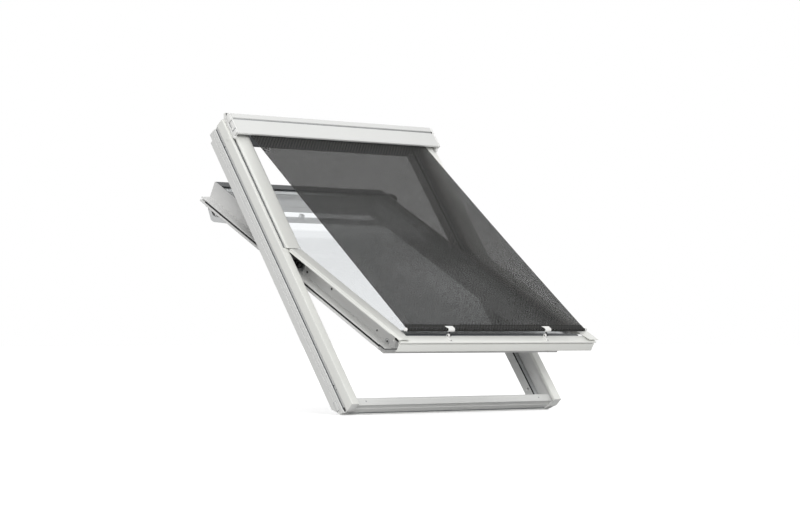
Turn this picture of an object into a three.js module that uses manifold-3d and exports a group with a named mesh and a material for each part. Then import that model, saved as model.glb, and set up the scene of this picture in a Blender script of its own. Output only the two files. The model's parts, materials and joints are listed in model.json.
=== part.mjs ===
// Pivoting roof window with an outside roller screen, standing open in its roof pitch.
// Lengths are millimetres and angles are degrees. The window is drawn flat: x runs across the roof,
// y up the slope and z out of the roof. The sash is drawn closed and then turned about its pivot,
// the screen is drawn along its own fabric, and the whole is turned to the roof pitch.
import * as THREE from 'three';
import { mergeVertices } from 'three/addons/utils/BufferGeometryUtils.js';
import Module from 'manifold-3d';

const wasm = await Module();
wasm.setup();

// Driving dimensions of the window
const roofPitch = 54.1;
const sashOpening = 25.87;
const frameWidth = 780;
const frameLength = 978;
const frameDepth = 80;
const seat = 0.3;
const overrun = 5;

// Frame members: widths across, and levels down from the front face
const recessWallWidth = 23;
const sideWidth = 39;
const recessDepth = 54;
const frontStripWidth = 25;
const sheet = 1.5;
const outerBandDepth = 28.5;
const shadowGrooveDepth = 14.5;
const shadowGrooveInset = 5;
const ribGroove = 1;
const ribLevels = [49, 59];
const noseReach = 3;
const noseDepth = 29;
const lipBack = 7;
const lipDepth = 60;
const heelBack = 20;
const heelDepth = 67;
const soleBack = 44;
const topWallWidth = 26;
const topMemberFront = 14;
const battenSeatLength = 21;
const battenSeatDepth = 70;
const sillDepth = 16;
const sillWidth = 21;
const sillSetBack = 8;
const sillLean = 2;
const openingSetBack = 49;
const dripReach = 3.2;
const dripThickness = 1.7;
const dripInset = 5;
const sealHeight = 5;

// Pivot between frame and sash, and the two hinge halves
const pivotUp = 6;
const pivotDepth = 35;
const hingePlate = 3;
const hingeDrumRadius = 13;
const hingePinRadius = 6;
const hingePinReach = 10;
const hingeRunning = 0.35;
const framePlateLength = 96;
const framePlateHeight = 36;
const sashPlateLength = 100;
const sashPlateHeight = 32;

// Covers over the joint between frame and sash
const upperCoverInset = 15.5;
const upperCoverWidth = 53;
const coverGrooveWidth = 5;
const coverGrooveDepth = 6;
const upperCoverRise = 7.2;
const upperCoverStart = 25;
const lowerCoverInset = 19;
const lowerCoverRise = 10.2;
const lowerCoverLip = 5;
const lowerCoverLeg = 14;
const lowerCoverTail = 33;
const lipSetBack = 4;
const tailCutWidth = 18;
const tailCutLength = 66;
const drumCoverRadius = 38;
const drumCoverStart = 90;
const drumCoverSweep = 78;
const drumCoverSteps = 10;
const drumTongueLength = 18;
const drumTongueRise = 7.2;
const drumCoverInset = 5;

// Sash members
const sashGap = 33;
const sashSideWidth = 35;
const sashTopGap = 3.8;
const sashTopWidth = 29.2;
const sashFaceTop = 1;
const flangeTop = 50;
const flangeThickness = 14;
const flangeRunning = 1.5;
const sashDepth = 79;
const gasketHeight = 4.4;
const gasketWidth = 9;
const sashBackWidth = 6;
const rebateLip = 3.5;
const sashEndSetBack = 12;
const sillClearance = 1.5;
const backClearance = 5.5;
const sashBottomWidth = 44.5;
const noseOverhang = 21;
const noseThickness = 4.9;
const ventSlotInner = 60;
const ventSlotSetBack = 43;
const ventSlotTop = 64;
const ventSlotHeight = 10;

// Sealed glass unit
const paneThickness = 4;
const spacerHeight = 9.4;
const spacerWidth = 8;
const glassTop = 5;
const glassIntoTop = 6.5;
const unitSetBack = 6.3;
const outerPaneSetBack = 1;

// Bottom cover of the sash and the dark bar above it
const bottomCoverInset = 26;
const bottomFoldReach = 4.5;
const bottomEdgeReach = 32;
const bottomCoverRise = 7;
const bottomCoverDrop = 5;
const bottomFaceHeight = 31;
const bottomFaceLean = 3;
const bottomFaceReturn = 6;
const glazingBarWidth = 15.2;
const glazingBarRise = 5;

// Screen casing along the top of the window, with its end caps
const hoodInset = 12;
const hoodCapThickness = 7.7;
const hoodCapFootInset = 10.2;
const hoodFront = 29;
const hoodLowSetBack = 72;
const hoodHighSetBack = 1;
const hoodSkin = 1.4;
const hoodLip = 3;
const hoodGroove = 2;
const hoodGrooveSetBack = 16;
const hoodBackReach = 15.5;
const hoodBackFront = 9.6;
const hoodLegLength = 22;
const hoodCapTongue = 4;
const hoodTongueHeight = 5;
const rollerRadius = 7;
const rollWall = 1.3;
const rollerSetBack = 21;
const rollerFront = 17.5;
const rollerInset = 38;
const spindleRadius = 3;
const spindleRunning = 0.4;
const spindleOverlap = 14;
const guideSetBack = 67;
const guideFront = 19.1;
const guideRadius = 2.5;
const guideBearing = 3;

// Screen fabric and its bottom bar
const fabricInset = 59;
const fabricThickness = 0.8;
const fabricAboveBar = 2.5;
const fabricTail = 42;
const leaderStart = 7;
const barReach = 4.3;
const barFront = 24.7;
const barRadius = 6.4;
const barWall = 1.4;
const hemRadius = 7.6;
const barCapRadius = 8.3;
const barCapLength = 9.7;
const barCapSpigot = 12;

// Clips that hold the bar, and the lugs that they turn on
const clipAt = 180;
const clipWidth = 24;
const clipWall = 2.2;
const clipFit = 0.4;
const clipTabAngle = 12;
const clipTabLength = 23;
const clipFootAngle = 226;
const clipWebAngle = 205;
const clipArcSteps = 10;
const lugWidth = 10;
const lugRadius = 5;
const lugPinRadius = 2;
const lugRunning = 0.35;
const lugReach = 14.3;
const lugFront = 12;
const lugFootUp = 3;
const lugFootDown = 16.5;
const lugFootThickness = 1.8;
const lugNeckWidth = 5.4;

// Control bar, vent flap, latch and cleaning bolt along the top of the sash
const controlBarDown = 9.5;
const controlBarWidth = 13;
const controlBarDepth = 92;
const controlBarHeight = 14;
const bracketInset = 4;
const bracketWidth = 10;
const bracketAxleSetBack = 7.2;
const bracketAxleDepth = 84.6;
const bracketEyeRadius = 4.3;
const bracketAxleRadius = 2;
const bracketRunning = 0.35;
const bracketLength = 92;
const bracketTailHeight = 6;
const bracketApex = 108.5;
const bracketRim = 4.2;
const bearingWidth = 6;
const bearingLength = 12;
const bearingHeight = 10;
const postAt = 7.5;
const postWidth = 12;
const flapSetBack = 21;
const flapThickness = 3;
const flapTop = 61;
const flapHeight = 16;
const lockHalf = 38;
const lockDepth = 12;
const lockTop = 42;
const lockHeight = 30;
const latchHalf = 8;
const latchTop = 53;
const latchHeight = 8;
const latchReach = 2.1;
const latchBack = 7;
const latchTravel = 2.2;
const strikeHalf = 30;
const strikeDepth = 4;
const boltSetBack = 38.2;
const boltDepth = 7;
const boltRadius = 3.4;
const boltRunning = 0.4;
const boltHousingWidth = 26;
const boltHousingLength = 24;
const boltHousingHeight = 11;
const boltSocketRadius = 4.5;

// Screws in the sash sides
const screwUp = -157;
const screwLevel = -30;
const screwHeadRadius = 4.5;
const screwHeadHeight = 2;
const screwShankRadius = 1.8;
const screwLength = 12;

// Materials
function paint(color, roughness, metalness = 0) {
  return new THREE.MeshStandardMaterial({ color, roughness, metalness });
}

const white = paint(0xe6e7e1, 0.45);
const core = paint(0xcfd0cd, 0.6);
const grey = paint(0xa6a7a7, 0.5);
const dark = paint(0x55585a, 0.6);
const steel = paint(0xb9bbbd, 0.3, 0.9);
const black = paint(0x1c1c1c, 0.7);
const rubber = paint(0x232323, 0.9);
const fabric = paint(0x4b4b49, 0.9);
const plastic = paint(0xeeeeea, 0.4);
const glass = new THREE.MeshStandardMaterial({
  color: 0xdfe9f0, roughness: 0.05, transparent: true, opacity: 0.35,
});

// Solids for joining and cutting
function solid(geometry) {
  const bare = geometry.clone();
  bare.deleteAttribute('normal');
  bare.deleteAttribute('uv');
  const merged = mergeVertices(bare, 1e-4);
  return new wasm.Manifold(new wasm.Mesh({
    numProp: 3,
    vertProperties: new Float32Array(merged.attributes.position.array),
    triVerts: new Uint32Array(merged.index.array),
  }));
}

function geometryOf(body) {
  const mesh = body.getMesh();
  const indexed = new THREE.BufferGeometry();
  indexed.setAttribute('position', new THREE.BufferAttribute(mesh.vertProperties, 3));
  indexed.setIndex(new THREE.BufferAttribute(mesh.triVerts, 1));
  const geometry = indexed.toNonIndexed();
  geometry.computeVertexNormals();
  return geometry;
}

function cut(geometry, ...tools) {
  return geometryOf(tools.reduce((body, tool) => body.subtract(solid(tool)), solid(geometry)));
}

function join(...parts) {
  return geometryOf(parts.map(solid).reduce((body, part) => body.add(part)));
}

// Outlines, and the two ways to run them: along x, from (y, z), and along y, from (x, z)
const alongXMatrix = new THREE.Matrix4().makeBasis(
  new THREE.Vector3(0, 1, 0), new THREE.Vector3(0, 0, 1), new THREE.Vector3(1, 0, 0),
);
const alongYMatrix = new THREE.Matrix4().makeBasis(
  new THREE.Vector3(1, 0, 0), new THREE.Vector3(0, 0, 1), new THREE.Vector3(0, -1, 0),
);

function path(points) {
  return points.map(([a, b]) => new THREE.Vector2(a, b));
}

function extrude(points, from, to, holes = []) {
  const edge = path(points);
  const shape = new THREE.Shape(THREE.ShapeUtils.isClockWise(edge) ? edge.reverse() : edge);
  for (const hole of holes) {
    shape.holes.push(new THREE.Path(path(hole)));
  }
  const geometry = new THREE.ExtrudeGeometry(shape, { depth: to - from, bevelEnabled: false });
  geometry.translate(0, 0, from);
  return geometry;
}

function alongX(points, from, to, holes = []) {
  return extrude(points, Math.min(from, to), Math.max(from, to), holes).applyMatrix4(alongXMatrix);
}

function alongY(points, from, to) {
  return extrude(points, -to, -from).applyMatrix4(alongYMatrix);
}

function box(x0, x1, y0, y1, z0, z1) {
  const geometry = new THREE.BoxGeometry(Math.abs(x1 - x0), Math.abs(y1 - y0), Math.abs(z1 - z0));
  geometry.translate((x0 + x1) / 2, (y0 + y1) / 2, (z0 + z1) / 2);
  return geometry;
}

// Points of an arc about (a, b), from one angle to another
function arc(a, b, radius, start, end, steps) {
  return Array.from({ length: steps + 1 }, (_, i) => {
    const turn = THREE.MathUtils.degToRad(start + (end - start) * i / steps);
    return [a + radius * Math.cos(turn), b + radius * Math.sin(turn)];
  });
}

const roundSteps = 24;

function circle(a, b, radius) {
  return arc(a, b, radius, 0, 360, roundSteps).slice(0, -1);
}

// Round bars and tubes along x, centred on (y, z)
function rod(radius, from, to, y, z) {
  return alongX(circle(y, z, radius), from, to);
}

function tube(outer, inner, from, to, y, z) {
  return alongX(circle(y, z, outer), from, to, [circle(y, z, inner)]);
}

// The outline of a bent sheet, with one face on the line and the other to the right of it
function bent(line, wall) {
  const back = line.map((point, i) => {
    const before = line[Math.max(i - 1, 0)];
    const after = line[Math.min(i + 1, line.length - 1)];
    const into = new THREE.Vector2(point[0] - before[0], point[1] - before[1]);
    const out = new THREE.Vector2(after[0] - point[0], after[1] - point[1]);
    if (into.length() === 0) into.copy(out);
    if (out.length() === 0) out.copy(into);
    into.normalize();
    out.normalize();
    const middle = into.clone().add(out).normalize();
    const reach = wall / middle.dot(into);
    return [point[0] + middle.y * reach, point[1] - middle.x * reach];
  });
  return [...line, ...back.reverse()];
}

function mirror(points, side) {
  return points.map(([x, other]) => [side * x, other]);
}

// Groups: the window with its origin on the batten seat, the sash on its pivot, and the screen
const halfWidth = frameWidth / 2;
const halfLength = frameLength / 2;
const root = new THREE.Group();
root.rotation.x = THREE.MathUtils.degToRad(roofPitch);
const frame = new THREE.Group();
frame.position.set(0, battenSeatLength / 2 - halfLength, battenSeatDepth);
const sashTurn = new THREE.Group();
sashTurn.position.set(0, pivotUp, -pivotDepth);
sashTurn.rotation.x = -THREE.MathUtils.degToRad(sashOpening);
const sash = new THREE.Group();
sash.position.set(0, -pivotUp, pivotDepth);
const screen = new THREE.Group();
root.add(frame);
frame.add(sashTurn, screen);
sashTurn.add(sash);

function piece(parent, name, geometry, material) {
  const mesh = new THREE.Mesh(geometry, material);
  mesh.name = name;
  parent.add(mesh);
}

const sides = { left: -1, right: 1 };

// Levels and widths that the frame pieces share
const recessWall = halfWidth - recessWallWidth;
const innerFace = halfWidth - sideWidth;
const bandBase = outerBandDepth + shadowGrooveDepth;
const underSheet = sheet + seat;
const topInner = halfLength - topWallWidth;
const sillOuter = -halfLength + sillSetBack;
const sillInner = sillOuter + sillWidth;
const openingLow = -halfLength + openingSetBack;

// Cross members fill the recess above the step and the narrower opening below it
function betweenSides(geometry) {
  const steps = Object.values(sides).map((side) => box(
    side * (innerFace - seat), side * halfWidth, -frameLength, frameLength,
    -recessDepth + seat, -frameDepth - overrun,
  ));
  return cut(geometry, ...steps);
}

// Side members: ribbed outer faces, slanted lower ends and the seat for the top batten
function sideSection() {
  const ribs = ribLevels.flatMap((level) => [
    [halfWidth, ribGroove - level],
    [halfWidth - ribGroove, ribGroove / 2 - level],
    [halfWidth - ribGroove, -ribGroove / 2 - level],
    [halfWidth, -ribGroove - level],
  ]);
  return [
    [recessWall, -underSheet],
    [halfWidth - underSheet, -underSheet],
    [halfWidth - underSheet, -outerBandDepth - seat],
    [halfWidth - shadowGrooveInset, -bandBase + sheet],
    [halfWidth, -bandBase],
    ...ribs,
    [halfWidth, -frameDepth],
    [innerFace, -frameDepth],
    [innerFace, -recessDepth],
    [recessWall, -recessDepth],
  ];
}

function trimEnds(geometry) {
  const span = halfWidth + overrun;
  const lowerEnd = [
    [-halfLength, overrun],
    [-halfLength, 0],
    [-halfLength - noseReach, -noseDepth],
    [-halfLength + lipBack, -lipDepth],
    [-halfLength + heelBack, -heelDepth],
    [-halfLength + soleBack, -frameDepth - overrun],
    [-halfLength - noseReach - overrun, -frameDepth - overrun],
    [-halfLength - noseReach - overrun, overrun],
  ];
  const battenSeat = box(
    -span, span, halfLength - battenSeatLength, halfLength + overrun,
    -battenSeatDepth, -frameDepth - overrun,
  );
  return cut(geometry, alongX(lowerEnd, -span, span), battenSeat);
}

// When the sash is turned right over, its cleaning bolt meets this place in the right side member
const sashTop = topInner - sashTopGap;
const boltUp = sashTop - boltSetBack;
const boltSocketUp = 2 * pivotUp - boltUp;
const boltSocketDepth = 2 * pivotDepth - boltDepth;
const boltSocket = rod(
  boltSocketRadius, innerFace - overrun, recessWall, boltSocketUp, -boltSocketDepth,
);

const upperOuter = halfWidth - upperCoverInset;
for (const [name, side] of Object.entries(sides)) {
  const low = -halfLength - noseReach;
  const coverGroove = box(
    side * (upperOuter + seat), side * (upperOuter + seat + coverGrooveWidth),
    pivotUp + upperCoverStart, halfLength + overrun, overrun, -coverGrooveDepth,
  );
  const member = cut(trimEnds(alongY(mirror(sideSection(), side), low, halfLength)), coverGroove);
  piece(frame, `side_member_${name}`, side > 0 ? cut(member, boltSocket) : member, core);

  const claddingLine = [
    [halfWidth - frontStripWidth, -underSheet],
    [halfWidth - frontStripWidth, 0],
    [halfWidth, 0],
    [halfWidth, -outerBandDepth],
  ];
  const cladding = alongY(mirror(bent(claddingLine, sheet), side), low, halfLength);
  piece(frame, `side_cladding_${name}`, cut(trimEnds(cladding), coverGroove), white);

  const sealSection = [
    [recessWall - seat, -recessDepth + seat],
    [recessWall - seat, -recessDepth + seat + sealHeight],
    [recessWall - sealHeight / 2, -recessDepth + seat + sealHeight],
    [innerFace + seat, -recessDepth + seat + sealHeight / 3],
    [innerFace + seat, -recessDepth + seat],
  ];
  const seal = alongY(mirror(sealSection, side), sillInner + seat, topInner - seat);
  piece(frame, `frame_seal_${name}`, seal, rubber);
}

// Bottom member under its cladding, with a drip strip along the foot
const memberHalf = recessWall - seat;
const bottomMemberSection = [
  [sillInner - underSheet, -sillDepth - underSheet],
  [sillOuter + underSheet, -sillDepth - underSheet],
  [sillOuter - sillLean + underSheet, -lipDepth],
  [-halfLength + heelBack, -heelDepth],
  [-halfLength + soleBack, -frameDepth],
  [openingLow, -frameDepth],
  [openingLow, -recessDepth],
  [sillInner, -recessDepth],
  [sillInner, -outerBandDepth],
  [sillInner - underSheet, -outerBandDepth],
];
const bottomMember = betweenSides(alongX(bottomMemberSection, -memberHalf, memberHalf));
piece(frame, 'bottom_member', bottomMember, core);

const bottomCladdingLine = [
  [sillOuter - sillLean, -lipDepth],
  [sillOuter, -sillDepth],
  [sillInner, -sillDepth],
  [sillInner, -outerBandDepth + seat],
];
const bottomSheet = betweenSides(
  alongX(bent(bottomCladdingLine, sheet), -memberHalf, memberHalf),
);
const dripStrip = box(
  -halfWidth + dripInset, halfWidth - dripInset,
  sillOuter - sillLean - dripReach, sillOuter - sillLean + seat,
  -lipDepth + seat, -lipDepth - dripThickness,
);
piece(frame, 'bottom_cladding', join(bottomSheet, dripStrip), grey);

// Top member, with the pocket that the latch drops into
const topMemberSection = [
  [topInner, -topMemberFront],
  [halfLength, -topMemberFront],
  [halfLength, -battenSeatDepth],
  [halfLength - battenSeatLength, -battenSeatDepth],
  [halfLength - battenSeatLength, -frameDepth],
  [topInner, -frameDepth],
];
const strikePocket = box(
  -strikeHalf, strikeHalf, topInner - overrun, topInner + strikeDepth,
  -lockTop, -lockTop - lockHeight,
);
const topMember = alongX(topMemberSection, -memberHalf, memberHalf);
piece(frame, 'top_member', betweenSides(cut(topMember, strikePocket)), dark);

// Upper covers, fixed to the frame from the pivot to the screen casing
const upperInner = upperOuter - upperCoverWidth;
const upperStart = pivotUp + upperCoverStart;
for (const [name, side] of Object.entries(sides)) {
  const line = [
    [upperInner, seat * 3],
    [upperInner + sheet * 2, upperCoverRise - sheet * 2],
    [upperInner + sheet * 5, upperCoverRise - sheet],
    [upperOuter - sheet * 4, upperCoverRise],
    [upperOuter - sheet, upperCoverRise - sheet / 2],
    [upperOuter, upperCoverRise - sheet * 2],
    [upperOuter, seat],
  ];
  const cover = alongY(mirror(bent(line, sheet), side), upperStart, halfLength);
  const endWall = alongY(mirror(line, side), upperStart, upperStart + sheet);
  piece(frame, `upper_cover_${name}`, join(cover, endWall), white);
}

// Hinges: the frame half has a drum and a pin, the sash half a socket that turns on the pin
const sashOuter = innerFace - sashGap;
const sashPlateOuter = sashOuter + seat + hingePlate;
const drumEnd = sashPlateOuter + hingePinReach;
const hingeLow = -pivotDepth - hingeDrumRadius;
for (const [name, side] of Object.entries(sides)) {
  const wallSide = side * (recessWall - seat);
  const wallFace = side * (recessWall - seat - hingePlate);
  const framePlate = box(
    wallSide, wallFace, pivotUp - framePlateLength / 2, pivotUp + framePlateLength / 2,
    hingeLow, hingeLow + framePlateHeight,
  );
  const drum = rod(hingeDrumRadius, wallSide, side * drumEnd, pivotUp, -pivotDepth);
  const pin = rod(hingePinRadius, wallSide, side * (sashPlateOuter + seat), pivotUp, -pivotDepth);
  piece(frame, `hinge_frame_half_${name}`, join(framePlate, drum, pin), black);

  const sashPlate = box(
    side * (sashOuter + seat), side * sashPlateOuter,
    pivotUp - sashPlateLength / 2, pivotUp + sashPlateLength / 2,
    hingeLow, hingeLow + sashPlateHeight,
  );
  const socket = rod(
    hingeDrumRadius, side * (sashOuter + seat), side * (drumEnd - seat), pivotUp, -pivotDepth,
  );
  const bore = rod(
    hingePinRadius + hingeRunning, side * sashPlateOuter, side * (drumEnd + overrun),
    pivotUp, -pivotDepth,
  );
  piece(sash, `hinge_sash_half_${name}`, cut(join(sashPlate, socket), bore), steel);
}

// Levels that the sash pieces share: its lower end steps back to clear the bottom member
const flangeEdge = innerFace - flangeRunning;
const sealBase = flangeTop + sheet * 2;
const flangeBack = flangeTop + flangeThickness;
const sashInner = sashOuter - sashSideWidth;
const innerPaneTop = glassTop + paneThickness + spacerHeight + 2 * seat;
const rebateFloor = innerPaneTop + paneThickness + seat;
const sashEnd = -halfLength + sashEndSetBack;
const recessEnd = sillInner + sillClearance;
const backEnd = openingLow + backClearance;
const noseBack = sillDepth - sillClearance;
const stepBack = recessDepth - seat;

function stepLowerEnd(geometry) {
  const span = flangeEdge + overrun;
  const far = sashEnd - 2 * overrun;
  return cut(geometry, alongX([
    [far, overrun],
    [far, -sashDepth - overrun],
    [backEnd, -sashDepth - overrun],
    [backEnd, -stepBack],
    [recessEnd, -stepBack],
    [recessEnd, -noseBack],
    [sashEnd, -noseBack],
    [sashEnd, overrun],
  ], -span, span));
}

// Sash sides: glass rebate inside, flange and seal outside
for (const [name, side] of Object.entries(sides)) {
  const section = [
    [sashInner, -sashDepth],
    [sashOuter + sashBackWidth, -sashDepth],
    [sashOuter + sashBackWidth, -flangeBack],
    [flangeEdge, -flangeBack],
    [flangeEdge, -sealBase - gasketHeight - 2 * seat],
    [flangeEdge - gasketWidth, -sealBase - gasketHeight - 2 * seat],
    [flangeEdge - gasketWidth, -sealBase],
    [flangeEdge - sheet, -sealBase],
    [flangeEdge - sheet, -flangeTop],
    [sashOuter, -flangeTop],
    [sashOuter, -sashFaceTop],
    [sashOuter - rebateLip, -sashFaceTop],
    [sashOuter - rebateLip, -rebateFloor],
    [sashInner, -rebateFloor],
  ];
  const member = stepLowerEnd(alongY(mirror(section, side), sashEnd - overrun, sashTop));
  const face = side * (sashOuter + seat);
  const tip = face - side * screwLength;
  const hole = rod(screwShankRadius + seat, tip - side * seat, face, screwUp, screwLevel);
  piece(sash, `sash_side_${name}`, cut(member, hole), white);
  const head = rod(screwHeadRadius, face, face + side * screwHeadHeight, screwUp, screwLevel);
  const shank = rod(screwShankRadius, tip, face + side * sheet, screwUp, screwLevel);
  piece(sash, `screw_${name}`, join(head, shank), steel);

  const sealSection = [
    [flangeEdge - gasketWidth + seat, -sealBase - seat],
    [flangeEdge + seat * 2, -sealBase - seat],
    [flangeEdge + seat * 2, -sealBase - gasketHeight / 2],
    [flangeEdge - seat, -sealBase - seat - gasketHeight],
    [flangeEdge - gasketWidth + seat, -sealBase - seat - gasketHeight],
  ];
  const seal = alongY(mirror(sealSection, side), backEnd, sashTop);
  piece(sash, `sash_seal_${name}`, seal, rubber);
}

// Sash top member, with ventilation slots and the pocket for the lock
const sashSpan = sashInner - seat;
const sashTopInner = sashTop - sashTopWidth;
const topRebate = sashTopInner + glassIntoTop + seat;
const sashTopSection = [
  [sashTop, -sashFaceTop - underSheet],
  [topRebate, -sashFaceTop - underSheet],
  [topRebate, -rebateFloor],
  [sashTopInner, -rebateFloor],
  [sashTopInner, -sashDepth],
  [sashTop, -sashDepth],
];
const lockPocket = box(
  -lockHalf - seat, lockHalf + seat, sashTop - lockDepth - seat, sashTop + overrun,
  -lockTop + seat, -lockTop - lockHeight - seat,
);
const ventSlotOuter = sashInner - ventSlotSetBack;
const ventSlots = Object.values(sides).map((side) => box(
  side * ventSlotInner, side * ventSlotOuter, sashTopInner - overrun, sashTop + overrun,
  -ventSlotTop, -ventSlotTop - ventSlotHeight,
));
const sashTopMember = cut(alongX(sashTopSection, -sashSpan, sashSpan), lockPocket, ...ventSlots);
piece(sash, 'sash_top_member', sashTopMember, white);

const topCoverLine = [
  [sashTopInner - underSheet, -glassTop + seat],
  [sashTopInner - underSheet, -sashFaceTop],
  [sashTop, -sashFaceTop],
];
const paneHalf = sashOuter - rebateLip - seat;
piece(sash, 'sash_top_cover', alongX(bent(topCoverLine, sheet), -paneHalf, paneHalf), dark);

// Sash bottom member, with a nose that reaches out over the sill and carries the glass and cover
const unitLow = recessEnd + unitSetBack;
const outerPaneBack = glassTop + paneThickness;
const noseTop = -outerPaneBack - 2 * seat;
const noseEnd = -halfLength - noseOverhang;
const bottomInner = recessEnd + sashBottomWidth;
const sashBottomSection = [
  [bottomInner, -rebateFloor],
  [unitLow - seat, -rebateFloor],
  [unitLow - seat, noseTop],
  [noseEnd, noseTop],
  [noseEnd, noseTop - noseThickness],
  [recessEnd, noseTop - noseThickness],
  [recessEnd, -stepBack],
  [backEnd, -stepBack],
  [backEnd, -sashDepth],
  [bottomInner, -sashDepth],
];
piece(sash, 'sash_bottom_member', alongX(sashBottomSection, -sashSpan, sashSpan), white);

// Sealed glass unit: a longer outer pane, an inner pane and the spacer frame between them
const paneHigh = sashTopInner + glassIntoTop;
const outerPaneLow = -halfLength + outerPaneSetBack;
const outerPane = box(-paneHalf, paneHalf, outerPaneLow, paneHigh, -outerPaneBack, -glassTop);
piece(sash, 'outer_pane', outerPane, glass);
const innerPane = box(
  -paneHalf, paneHalf, unitLow, paneHigh, -innerPaneTop - paneThickness, -innerPaneTop,
);
piece(sash, 'inner_pane', innerPane, glass);
const spacerTop = -outerPaneBack - seat;
const spacerBlock = box(-paneHalf, paneHalf, unitLow, paneHigh, spacerTop - spacerHeight, spacerTop);
const spacerRoom = box(
  -paneHalf + spacerWidth, paneHalf - spacerWidth, unitLow + spacerWidth, paneHigh - spacerWidth,
  spacerTop - spacerHeight - overrun, spacerTop + overrun,
);
piece(sash, 'glass_spacer', cut(spacerBlock, spacerRoom), dark);

// Lower covers, carried by the sash, each with a stepped lip outside and a slanted tail
const lowerOuter = halfWidth - lowerCoverInset;
const legInner = sashOuter + seat;
const coverTail = -halfLength - lowerCoverTail;
for (const [name, side] of Object.entries(sides)) {
  const line = [
    [legInner, -lowerCoverLeg],
    [legInner, lowerCoverRise / 2],
    [legInner + sheet * 2, lowerCoverRise - sheet],
    [legInner + sheet * 6, lowerCoverRise],
    [lowerOuter - sheet * 3, lowerCoverRise],
    [lowerOuter, lowerCoverRise - sheet * 2],
    [lowerOuter, lowerCoverLip],
  ];
  const cover = alongY(mirror(bent(line, sheet), side), coverTail, pivotUp - sheet);
  const slant = extrude(mirror([
    [legInner - overrun, coverTail - overrun],
    [legInner + tailCutWidth, coverTail - overrun],
    [legInner + tailCutWidth, coverTail],
    [legInner + sheet + seat, coverTail + tailCutLength],
    [legInner - overrun, coverTail + tailCutLength],
  ], side), -lowerCoverLeg - overrun, lowerCoverRise + overrun);
  const lipEnd = extrude(mirror([
    [lowerOuter - sheet * 4, pivotUp + overrun],
    [lowerOuter - sheet * 4, pivotUp - sheet - lipSetBack / 2],
    [lowerOuter + overrun, pivotUp - sheet - 2 * lipSetBack],
    [lowerOuter + overrun, pivotUp + overrun],
  ], side), -lowerCoverLeg, lowerCoverRise + overrun);
  piece(sash, `lower_cover_${name}`, cut(cover, slant, lipEnd), white);

  const drum = arc(
    pivotUp, -pivotDepth, drumCoverRadius, drumCoverStart, drumCoverStart - drumCoverSweep,
    drumCoverSteps,
  );
  const drumLine = [
    [pivotUp - drumTongueLength, drumTongueRise],
    [pivotUp - 2 * sheet, drumTongueRise],
    [pivotUp - 2 * sheet, drumCoverRadius - pivotDepth],
    ...drum,
  ];
  const inner = side * (sashOuter + drumCoverInset);
  const outer = side * (recessWall - hingePlate - 2 * seat);
  piece(sash, `pivot_cover_${name}`, alongX(bent(drumLine, sheet), inner, outer), white);
}

// Bottom cover of the sash and the dark glazing bar that seals it to the glass
const bottomFold = -halfLength - bottomFoldReach;
const bottomEdge = -halfLength - bottomEdgeReach;
const faceTop = bottomCoverRise - bottomCoverDrop;
const faceFoot = faceTop - bottomFaceHeight;
const bottomCoverLine = [
  [bottomEdge + bottomFaceLean + bottomFaceReturn, faceFoot],
  [bottomEdge + bottomFaceLean, faceFoot],
  [bottomEdge, faceTop],
  [bottomFold, bottomCoverRise],
  [bottomFold, noseTop + seat],
];
const bottomCoverHalf = halfWidth - bottomCoverInset;
const bottomCover = alongX(bent(bottomCoverLine, sheet), -bottomCoverHalf, bottomCoverHalf);
piece(sash, 'bottom_cover', bottomCover, white);

const glazingBarLow = bottomFold + seat;
const glazingBarHigh = glazingBarLow + glazingBarWidth;
const glazingBarSection = [
  [outerPaneLow - seat, noseTop + seat],
  [outerPaneLow - seat, -glassTop + seat],
  [glazingBarHigh, -glassTop + seat],
  [glazingBarHigh, glazingBarRise - sheet],
  [glazingBarHigh - sheet, glazingBarRise],
  [glazingBarLow, bottomCoverRise - seat],
  [glazingBarLow, noseTop + seat],
];
piece(sash, 'glazing_bar', alongX(glazingBarSection, -sashOuter, sashOuter), rubber);

// Screen casing: lip, front, slanted back and a leg down the outside of the top member
const hoodHalf = halfWidth - hoodInset;
const hoodLow = halfLength - hoodLowSetBack;
const hoodHigh = halfLength - hoodHighSetBack;
const hoodGrooveUp = halfLength - hoodGrooveSetBack;
const hoodLeg = halfLength + seat + hoodSkin;
const hoodBack = [halfLength + hoodBackReach, hoodBackFront];
const hoodLine = [
  [hoodLow, hoodFront - 2 * hoodLip],
  [hoodLow + hoodSkin, hoodFront - hoodLip],
  [hoodLow + 2 * hoodLip, hoodFront],
  [hoodGrooveUp - hoodGroove, hoodFront],
  [hoodGrooveUp, hoodFront - hoodGroove],
  [hoodGrooveUp + hoodGroove, hoodFront],
  [hoodHigh, hoodFront],
  [hoodHigh + hoodGroove, hoodFront - hoodGroove],
  hoodBack,
  [hoodLeg, sheet],
  [hoodLeg, -hoodLegLength],
];
piece(frame, 'screen_casing', alongX(bent(hoodLine, hoodSkin), -hoodHalf, hoodHalf), grey);

// End caps stand on the frame beside the upper covers and carry the guide rod and the roller
const rollerUp = halfLength - rollerSetBack;
const guideUp = halfLength - guideSetBack;
const rodLift = guideRadius + fabricThickness / 2 + seat;
const capInner = hoodHalf + seat;
const rollerHalf = halfWidth - rollerInset;
const barUp = -halfLength - barReach;

// The fabric line runs from the bar, on the turned sash, to the guide rod under the casing
const opening = THREE.MathUtils.degToRad(sashOpening);
const barAtRest = new THREE.Vector2(barUp - pivotUp, barFront + pivotDepth)
  .rotateAround(new THREE.Vector2(), -opening)
  .add(new THREE.Vector2(pivotUp, -pivotDepth));
const toGuide = new THREE.Vector2(guideUp, guideFront).sub(barAtRest);
const fabricAngle = toGuide.angle() - Math.asin(fabricAboveBar / toGuide.length());
const fabricSpan = Math.sqrt(toGuide.lengthSq() - fabricAboveBar ** 2);
const guideCentre = new THREE.Vector2(0, rodLift)
  .rotateAround(new THREE.Vector2(), fabricAngle)
  .add(new THREE.Vector2(guideUp, guideFront));

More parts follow.
